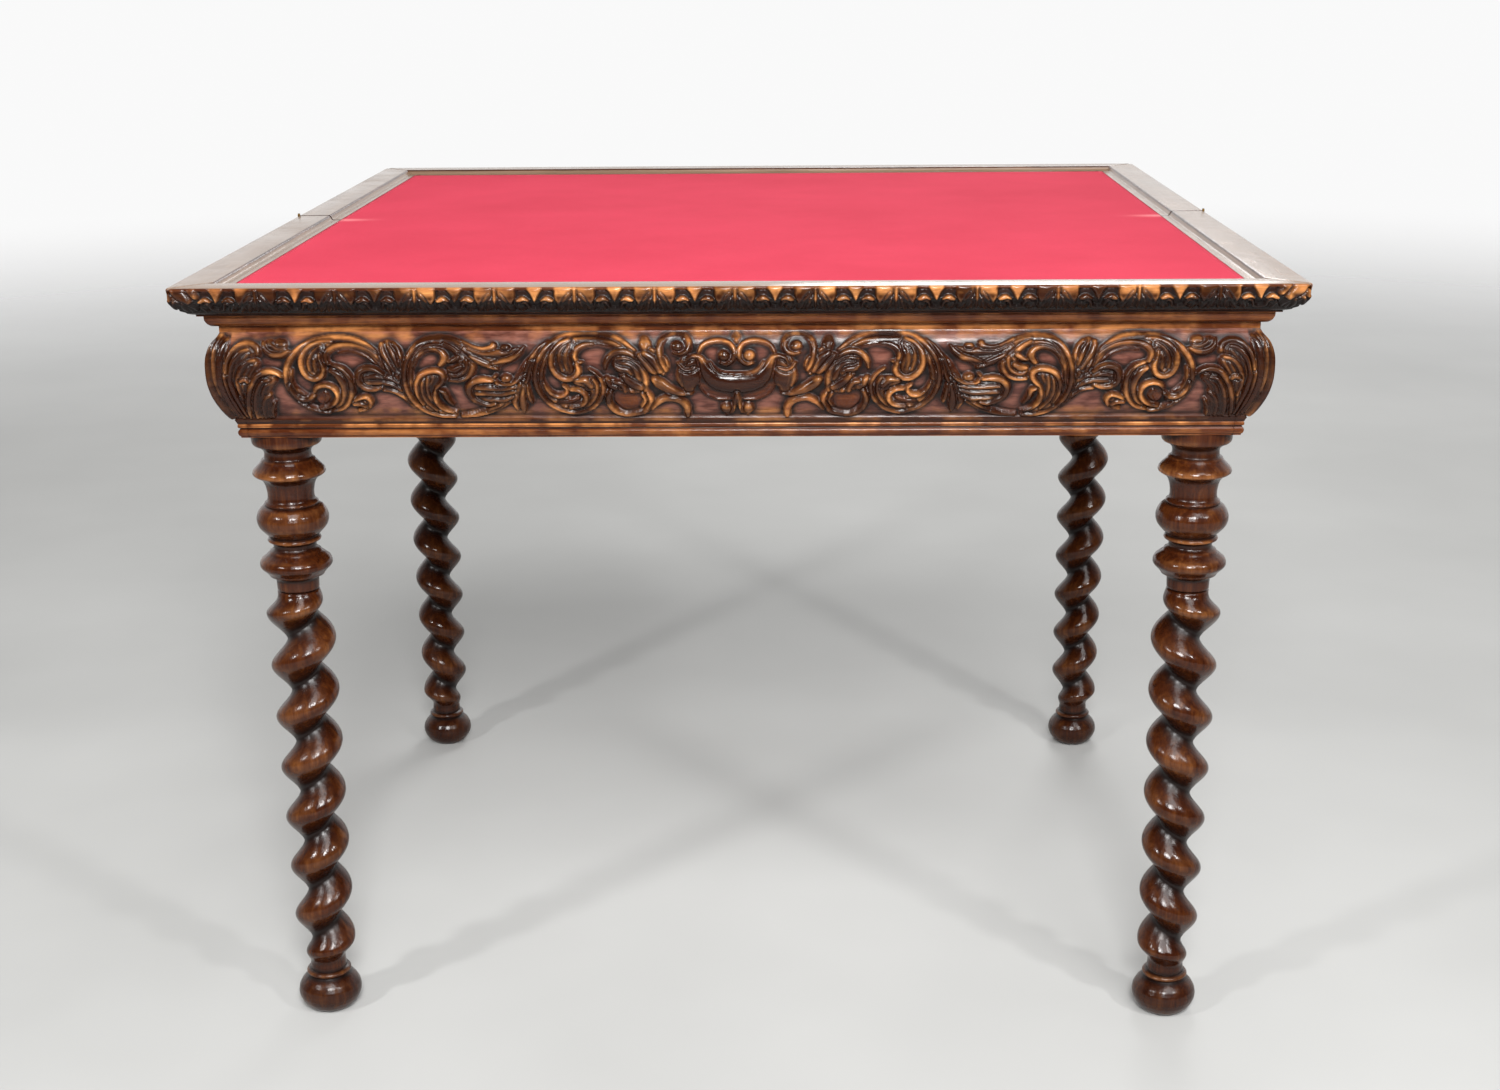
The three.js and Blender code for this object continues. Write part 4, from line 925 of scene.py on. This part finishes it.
def leg(name, x, y, height, hand, body, replaced):
    """A turned head, a barley twist and a turned foot, from the floor up."""
    z = np.arange(0, leg_height + leg_ring_step, leg_ring_step)
    z[-1] = leg_height
    head_down, head_radius = np.array(HEAD).T
    foot_up, foot_radius = np.array(FOOT).T
    head = np.interp(leg_height - z, head_down, head_radius)
    turned = np.where(z > twist_top, head, np.interp(z, foot_up, foot_radius))
    in_twist = np.clip(np.minimum(z - twist_bottom, twist_top - z), 0, None)
    ease = eased(in_twist / (twist_ease * twist_pitch))[:, None]
    crest = np.interp(z, twist_crest_heights, [twist_crest_low, twist_crest_high])[:, None]
    angle = np.linspace(0, 2 * math.pi, leg_sides, endpoint=False)[None, :]
    start = math.pi if hand > 0 else 0.0
    turn = start + hand * 2 * math.pi * (z[:, None] - crest_height) / twist_pitch
    swell = ((1 + np.cos(angle - turn)) / 2) ** twist_lobe
    neck = np.where(z[:, None] > neck_change, upper_neck, lower_neck)
    twisted = twist_valley + (crest - twist_valley) * swell
    radius = np.where(in_twist[:, None] > 0, neck + ease * (twisted - neck), turned[:, None])
    level = np.broadcast_to(z[:, None], radius.shape)
    rings = np.stack([x + radius * np.cos(angle), y + radius * np.sin(angle), level], -1)
    rings[..., 2] *= height / leg_height
    tenon = [
        (x + tenon_radius * math.cos(a), y + tenon_radius * math.sin(a), height + up)
        for up in (0.0, tenon_length) for a in angle[0]
    ]
    all_points = np.vstack([rings.reshape(-1, 3), tenon])
    index = np.arange(len(all_points)).reshape(-1, leg_sides)
    after = np.roll(index, -1, axis=1)
    quads = np.stack([index[:-1], after[:-1], after[1:], index[1:]], -1).reshape(-1, 4)
    faces = [*quads.tolist(), index[0][::-1].tolist(), index[-1].tolist()]
    mesh = smooth_mesh(name, all_points, faces)
    mesh.set_sharp_from_angle(angle=math.radians(58))
    around = softened(radius, 4)
    # The twist's valleys and the head's narrow coves darken with wax, dirt and painted shade
    depth = np.where(ease > 0, 1 - (radius - twist_valley) / (crest - twist_valley), 0) * ease
    grime_and_shade = np.clip((around - radius) / leg_dirt_and_shade_depth, 0, 1)
    worn = np.clip((radius - around) / leg_rub_height, 0, 1)
    # The leg darkens towards the foot
    darker_to_foot = foot_darkening * eased((twist_bottom + 20 - z[:, None]) / 40)
    pad = np.zeros(2 * leg_sides)
    keep_values(
        mesh,
        hollow=np.concatenate([np.clip(leg_dirt_and_shade * depth**1.4 + grime_and_shade + darker_to_foot, 0, 1).ravel(), pad]),
        crest=np.concatenate([leg_rub * worn.ravel(), pad]),
        raised=np.full(len(all_points), leg_stain),
    )
    return placed(name, mesh, body, "carved_oak", replaced)


def legs():
    """Four legs. The twists turn opposite ways left and right, and front and rear."""
    for side, x, hand in (("left", -leg_x, 1), ("right", leg_x, -1)):
        leg(f"front_leg_twist_{side}", x, front_leg_y, leg_height, hand, "frame", f"front_leg_{side}")
        rear_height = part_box(f"rear_leg_block_{side}")[0].z / MM
        leg(f"rear_leg_twist_{side}", x, rear_leg_y, rear_height, -hand, "rear_frame", f"rear_leg_{side}")


# The felt is one sheet glued down over both leaves, a little slack, and rubbed where the leaves meet, with a
# painted highlight on its crease at the joint's ends
def felt_slack(across, back, inside):
    """How far the sheet lifts: a ruck at the joint, mostly at its ends, and a faint pull elsewhere."""
    ruck = np.exp(-(back / ruck_width) ** 2) * (least_ruck + end_ruck * np.exp(-inside / end_ruck_reach))
    pull = pull_height * np.sin(across / pull_across) * np.sin(back / pull_back)
    return ruck, pull


def felt():
    """The sheet with its edge turned down, lying over the joint between the leaves with a ruck there."""
    low, high = felt_low.x / MM, felt_high.x / MM
    front, back = felt_low.y / MM, flip_felt_high.y / MM
    top, bottom = felt_high.z / MM, felt_low.z / MM
    across = np.linspace(low, high, felt_columns)
    beside = np.linspace(front, -fold_reach - 1, felt_rows)
    joint = np.linspace(-fold_reach, fold_reach, fold_rows)
    along = np.concatenate([beside, joint, -beside[::-1]])
    along[-1] = back
    x, y = np.meshgrid(across, along)
    end = np.minimum(x - low, high - x)
    ruck, pull = felt_slack(x, y, end)
    edge = np.minimum(end, np.minimum(y - front, back - y))
    z = top - felt_below_top + ruck * ruck_height + pull * eased(edge / flat_edge)
    index = np.arange(z.size).reshape(z.shape)
    rim = [*index[0], *index[1:, -1], *index[-1, -2::-1], *index[-2:0:-1, 0]]
    points = np.stack([x, y, z], -1).reshape(-1, 3)
    foot = points[rim].copy()
    foot[:, 2] = bottom
    quads = np.stack([index[:-1, :-1], index[:-1, 1:], index[1:, 1:], index[1:, :-1]], -1).reshape(-1, 4)
    rim_after = np.roll(rim, -1)
    under = z.size + np.arange(len(rim))
    sides = np.stack([under, np.roll(under, -1), rim_after, rim], -1)
    mesh = smooth_mesh("red_baize", np.vstack([points, foot]), [*quads.tolist(), *sides.tolist()])
    # Paler at the joint's ends: rubbed nap and a painted highlight on the crease
    rub_and_highlight = rub_and_highlight_share * np.exp(-(y / rub_and_highlight_width) ** 2) * np.exp(-(end / rub_and_highlight_length) ** 2)
    keep_values(mesh, rubbed=np.concatenate([rub_and_highlight.ravel(), np.zeros(len(rim))]))
    made = bpy.data.objects.new("red_baize", mesh)
    bpy.context.collection.objects.link(made)
    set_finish(made, "felt")
    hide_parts("front_leaf_felt", "flip_leaf_felt")
    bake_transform(made)


# Materials
def linear(colour):
    """An sRGB hex colour as the linear numbers that the shaders use."""
    parts = [int(colour[k : k + 2], 16) / 255 for k in (1, 3, 5)]
    return [*(c / 12.92 if c <= 0.04045 else ((c + 0.055) / 1.055) ** 2.4 for c in parts), 1]


def add(tree, kind, settings=(), inputs=(), stops=()):
    """Adds a node, sets its properties, sets or links its inputs, and places a ramp's stops."""
    made = tree.nodes.new("ShaderNode" + kind)
    for name, value in dict(settings).items():
        setattr(made, name, value)
    for name, value in dict(inputs).items():
        socket = made.inputs[name]
        if isinstance(value, bpy.types.NodeSocket):
            tree.links.new(value, socket)
        else:
            socket.default_value = value
    for k, (position, colour) in enumerate(stops):
        placed_stops = made.color_ramp.elements
        stop = placed_stops[k] if k < 2 else placed_stops.new(position)
        stop.position = position
        stop.color = linear(colour)
    return made


def material(name):
    """An empty material and its node tree."""
    made = bpy.data.materials.new(name)
    made.use_nodes = True
    made.node_tree.nodes.clear()
    return made, made.node_tree


def finished(tree, shader):
    """Joins the shader to the material's output."""
    add(tree, "OutputMaterial", inputs={"Surface": shader.outputs[0]})


def object_place(tree):
    """The place on the object, in metres."""
    return add(tree, "TexCoord").outputs["Object"]


def field(tree, name):
    """A field of one number a point that the mesh carries."""
    return add(tree, "Attribute", {"attribute_name": name}).outputs["Fac"]


def along_grain(tree, grain, width, length):
    """The place on the object, measured in figures of this width, and of this length along the grain."""
    scale = [1000 / width] * 3
    scale[grain] = 1000 / length
    return add(tree, "Mapping", inputs={"Vector": object_place(tree), "Scale": scale}).outputs[0]


def noise(tree, place, detail, size=1000.0, **inputs):
    """Clouds of this size in millimetres. A place measured in figures keeps the size of 1000."""
    inputs = {"Vector": place, "Scale": 1000 / size, "Detail": detail, **inputs}
    return add(tree, "TexNoise", inputs=inputs).outputs["Fac"]


def ramp(tree, value, *stops):
    """Colours by value."""
    return add(tree, "ValToRGB", inputs={"Fac": value}, stops=stops).outputs[0]


def mixed(tree, factor, first, second, blend="MIX"):
    """The first colour, with the second over it as far as the factor says."""
    settings = {"data_type": "RGBA", "blend_type": blend}
    return add(tree, "Mix", settings, {"Factor": factor, 6: first, 7: second}).outputs[2]


def reckoned(tree, operation, *values):
    """Plain arithmetic of values."""
    return add(tree, "Math", {"operation": operation}, dict(enumerate(values))).outputs[0]


def ranged(tree, value, start, end, low=0.0, high=1.0):
    """A value between low and high, carried to between start and end."""
    inputs = {"Value": value, "From Min": low, "From Max": high, "To Min": start, "To Max": end}
    return add(tree, "MapRange", inputs=inputs).outputs[0]


def bumped(tree, height, strength, distance, **inputs):
    """A bump that is this deep in metres at full strength."""
    inputs = {"Height": height, "Strength": strength, "Distance": distance, **inputs}
    return add(tree, "Bump", inputs=inputs).outputs[0]


def carved_oak(name, grain):
    """Quartered oak, stained, shellacked and finished with wax: golden where hands have worn the carving's
    ridges, red-brown on the flats, plum-brown on the sunk ground with a painted lilac reflection in that
    tone, nearly black in the hollows where wax fills them and shade is painted in, and pale on the rim, paled
    by sun and by a painted grazing reflection."""
    made, tree = material(name)
    place = object_place(tree)
    growth = along_grain(tree, grain, width=6.0, length=110.0)
    figure = noise(tree, growth, 4.0, Roughness=0.6, Distortion=0.6)
    pores = noise(tree, along_grain(tree, grain, width=0.9, length=12.0), 2.0)
    ripple = noise(tree, along_grain(tree, grain, width=6.0, length=16.0), 2.0)
    cloud = noise(tree, place, 4.0, size=60.0, Roughness=0.6)
    handled = noise(tree, place, 3.0, size=34.0, Roughness=0.55)

    # Stain, darker on the carving's raised forms and duller on its tooled ground, whose plum tone is partly
    # stain and partly painted reflection
    stain = ramp(tree, figure, (0.28, "#3A1808"), (0.72, "#744019"), (0.5, "#52260D"))
    uneven = ramp(tree, cloud, (0.3, "#9A7A68"), (0.7, "#FFFFFF"))
    stained = mixed(tree, 0.7, stain, uneven, "MULTIPLY")
    deeper = reckoned(tree, "MULTIPLY", field(tree, "raised"), 0.85)
    darker = mixed(tree, deeper, stained, linear("#1E0B05"))
    # The sunk ground's plum tone: stain, with a painted lilac reflection mixed in
    dulled = ramp(tree, ripple, (0.36, "#4A2821"), (0.64, "#74493D"))
    sunk = mixed(tree, field(tree, "ground"), darker, dulled)

    # Wear on the ridges, wax and painted shade in the hollows, wax in the pores, and the rim paled by sun and
    # by a painted grazing reflection
    patchy = ranged(tree, handled, 0.04, 0.95, low=0.44, high=0.6)
    wear_here = reckoned(tree, "MULTIPLY", field(tree, "crest"), patchy)
    golden = ramp(tree, figure, (0.3, "#8E522C"), (0.7, "#CE8B50"))
    worn = mixed(tree, wear_here, sunk, golden)
    hollow = field(tree, "hollow")
    # The hollows go nearly black: wax with painted shade
    waxed_and_shaded = mixed(tree, hollow, worn, linear("#100503"))
    pore_line = ranged(tree, pores, 0.5, 1.0, low=0.36, high=0.46)
    grained = mixed(tree, 0.5, waxed_and_shaded, pore_line, "MULTIPLY")
    # The rim and ledge go pale: paled by sun and by a painted grazing reflection
    faded = field(tree, "faded")
    pale_rim_colour = ramp(tree, figure, (0.3, "#735C49"), (0.7, "#8B725D"))
    colour = mixed(tree, faded, grained, pale_rim_colour)

    # Varnish: glossy in smears, dull with dust in the hollows, and rippled where tools have cut
    smear = ranged(tree, cloud, 0.12, 0.26, low=0.3, high=0.7)
    dusty = reckoned(tree, "MULTIPLY_ADD", hollow, 0.16, smear)
    planed = ranged(tree, faded, 1.0, 0.15)
    cut = reckoned(tree, "MULTIPLY", reckoned(tree, "SUBTRACT", ripple, 0.5), planed)
    pored = bumped(tree, pore_line, 0.12, 0.00025)
    tooled = bumped(tree, cut, 0.4, 0.001, Normal=pored)
    finished(tree, add(tree, "BsdfPrincipled", inputs={
        "Base Color": colour, "Roughness": dusty, "Normal": tooled, "IOR": 1.34}))
    return made


def inner_oak(name, grain):
    """Planed oak under the top and behind, without varnish and gone dull brown with age."""
    made, tree = material(name)
    growth = along_grain(tree, grain, width=5.0, length=90.0)
    figure = noise(tree, growth, 5.0, Roughness=0.65, Distortion=0.4)
    colour = ramp(tree, figure, (0.3, "#4A3524"), (0.7, "#846648"), (0.5, "#694E37"))
    rough = ranged(tree, figure, 0.62, 0.85)
    bump = bumped(tree, figure, 0.4, 0.0004)
    finished(tree, add(tree, "BsdfPrincipled", inputs={
        "Base Color": colour, "Roughness": rough, "Normal": bump, "IOR": 1.5}))
    return made


def red_baize():
    """Woven and milled wool baize: a short nap with a soft sheen, paler at the joint's ends where it is
    rubbed and where a highlight on the crease is painted in.
    """
    made, tree = material("red wool baize")
    place = object_place(tree)
    fibre = noise(tree, place, 3.0, size=1.1, Roughness=0.7)
    cloud = noise(tree, place, 4.0, size=160.0, Roughness=0.6)
    red = ramp(tree, cloud, (0.3, "#BF223D"), (0.7, "#CD2F49"))
    nap = ramp(tree, fibre, (0.3, "#D8D8D8"), (0.7, "#FFFFFF"))
    napped = mixed(tree, 0.7, red, nap, "MULTIPLY")
    # Paler at the joint's ends: rubbed nap and a painted highlight on the crease
    colour = mixed(tree, field(tree, "rubbed"), napped, linear("#F5A0A0"))
    bump = bumped(tree, fibre, 0.5, 0.0005)
    finished(tree, add(tree, "BsdfPrincipled", inputs={
        "Base Color": colour, "Roughness": 0.95, "Normal": bump, "Specular IOR Level": 0.15,
        "Sheen Weight": 0.25, "Sheen Roughness": 0.5, "Sheen Tint": linear("#F06A7C")}))
    return made


def old_metal(name, dark, bright, shine):
    """Cast or drawn metal that has dulled: bright where it is handled and brown in between."""
    made, tree = material(name)
    spots = noise(tree, object_place(tree), 5.0, size=4.0, Roughness=0.65)
    colour = ramp(tree, spots, (0.35, dark), (0.65, bright))
    rough = ranged(tree, spots, shine + 0.25, shine)
    bump = bumped(tree, spots, 0.2, 0.0002)
    finished(tree, add(tree, "BsdfPrincipled", inputs={
        "Base Color": colour, "Roughness": rough, "Normal": bump, "Metallic": 1.0}))
    return made


def dress():
    """Puts a finish on every piece, by the slot in the record. An oak piece's grain runs along its length."""
    slot_of_node = {part["node"]: part["material_slot"] for part in frame["record"]["subparts"]}
    grains = ("across", "deep", "upright")
    oak = {
        "carved_oak": [carved_oak(f"varnished oak, grain {way}", axis) for axis, way in enumerate(grains)],
        "inner_oak": [inner_oak(f"bare planed oak, grain {way}", axis) for axis, way in enumerate(grains)],
    }
    slots = {
        "felt": red_baize(),
        "brass": old_metal("tarnished brass", "#3E2D15", "#7F6133", 0.38),
        "steel": old_metal("dulled steel", "#4A4743", "#8E8B86", 0.32),
    }
    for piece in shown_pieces():
        low, high = Vector((1e9,) * 3), Vector((-1e9,) * 3)
        for corner in piece.bound_box:
            low = Vector(map(min, low, corner))
            high = Vector(map(max, high, corner))
        longest = max(range(3), key=lambda axis: (high - low)[axis])
        wanted = piece.get("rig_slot") or slot_of_node.get(piece.name, "carved_oak")
        piece.data.materials.clear()
        piece.data.materials.append(slots.get(wanted) or oak[wanted][longest])


# Studio
lamp_target = (0, 0, 0.55)
camera_at = (0.0562, -2.2413, 1.0264)
camera_angles = (-1.4914, 17.7867, -0.5071)
focal_length = 48.31
sensor_width = 36
upward_shift = 0.03


def studio():
    """A pale floor that fades into a white backdrop, a soft sun, and lamps that make the varnish glint."""
    bpy.ops.mesh.primitive_plane_add(size=16, location=(0, 0, 0))
    floor = bpy.context.active_object
    floor.name = "studio_floor"
    floor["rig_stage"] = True
    made, tree = material("pale studio floor")
    place = object_place(tree)
    cloud = noise(tree, place, 3.0, size=500.0)
    tone = ramp(tree, cloud, (0.3, "#B4B4B2"), (0.7, "#BCBCBA"))
    matt = add(tree, "BsdfPrincipled", inputs={"Base Color": tone, "Roughness": 0.6, "IOR": 1.3})
    away = add(tree, "VectorMath", {"operation": "LENGTH"}, {0: place})
    fade = add(tree, "MapRange", {"interpolation_type": "SMOOTHSTEP"}, {
        "Value": away.outputs["Value"], "From Min": 2.0, "From Max": 6.5})
    finished(tree, add(tree, "MixShader", inputs={
        0: fade.outputs[0], 1: matt.outputs[0], 2: add(tree, "BsdfTransparent").outputs[0]}))
    floor.data.materials.append(made)

    world = bpy.data.worlds.new("studio")
    bpy.context.scene.world = world
    world.use_nodes = True
    sky = world.node_tree
    sky.nodes.clear()
    rays = add(sky, "LightPath").outputs
    straight = reckoned(sky, "MAXIMUM", rays["Is Camera Ray"], rays["Is Glossy Ray"])
    shown_rays = reckoned(sky, "MAXIMUM", straight, rays["Is Transmission Ray"])
    ahead = add(sky, "SeparateXYZ", inputs={0: add(sky, "TexCoord").outputs["Generated"]})
    backdrop = ranged(sky, ahead.outputs["Y"], 0.06, 1.1, low=-0.2, high=0.6)
    seen = add(sky, "Mix", inputs={"Factor": rays["Is Camera Ray"], 2: backdrop, 3: 0.95})
    level = add(sky, "Mix", inputs={"Factor": shown_rays, 2: 0.24, 3: seen.outputs[0]})
    light = add(sky, "Background", inputs={"Color": linear("#FFFFFF"), "Strength": level.outputs[0]})
    add(sky, "OutputWorld", inputs={"Surface": light.outputs[0]})

    for name, kind, at, size, power in (
        ("daylight", "SUN", (0.5, -1.8, 2.8), 0.45, 1.3),
        ("front_softbox", "AREA", (0.15, -2.6, 1.75), 0.6, 76),
        ("right_lamp", "AREA", (1.9, -2.3, 2.0), 0.22, 30),
        ("left_lamp", "AREA", (-1.9, -2.1, 1.8), 0.22, 30),
        ("rear_softbox", "AREA", (0.6, 2.6, 2.2), 1.2, 34),
    ):
        shape = bpy.data.lights.new(name, kind)
        setattr(shape, "angle" if kind == "SUN" else "size", size)
        shape.energy = power
        lamp = bpy.data.objects.new(name, shape)
        bpy.context.collection.objects.link(lamp)
        lamp.location = at
        lamp.rotation_euler = (Vector(lamp_target) - Vector(at)).to_track_quat("-Z", "Y").to_euler()
    bpy.context.scene.view_settings.view_transform = "Standard"


def camera():
    """Stands a little left of the middle and looks down across the top, as the photographer did."""
    yaw, pitch, roll = (math.radians(angle) for angle in camera_angles)
    ahead = Vector((math.sin(yaw) * math.cos(pitch), math.cos(yaw) * math.cos(pitch), -math.sin(pitch)))
    level = Vector((math.cos(yaw), -math.sin(yaw), 0))
    over = level.cross(ahead)
    right = math.cos(roll) * level + math.sin(roll) * over
    up = math.cos(roll) * over - math.sin(roll) * level
    lens = bpy.data.cameras.new("photographer")
    lens.lens = focal_length
    lens.sensor_width = sensor_width
    lens.shift_y = upward_shift
    seat = bpy.data.objects.new("photographer", lens)
    bpy.context.collection.objects.link(seat)
    turned = Matrix((right, up, -ahead)).transposed().to_4x4()
    seat.matrix_world = Matrix.Translation(camera_at) @ turned
    bpy.context.scene.camera = seat


camera()
studio()
around_frame("apron_carving", "apron", apron_section, frieze_step, front_frieze, side_frieze)
around_frame("bed_reeds", "bed_moulding", bed_section, wide_step)
around_frame("base_reeds", "base_moulding", base_section, wide_step)
rails()
legs()
felt()
dress()
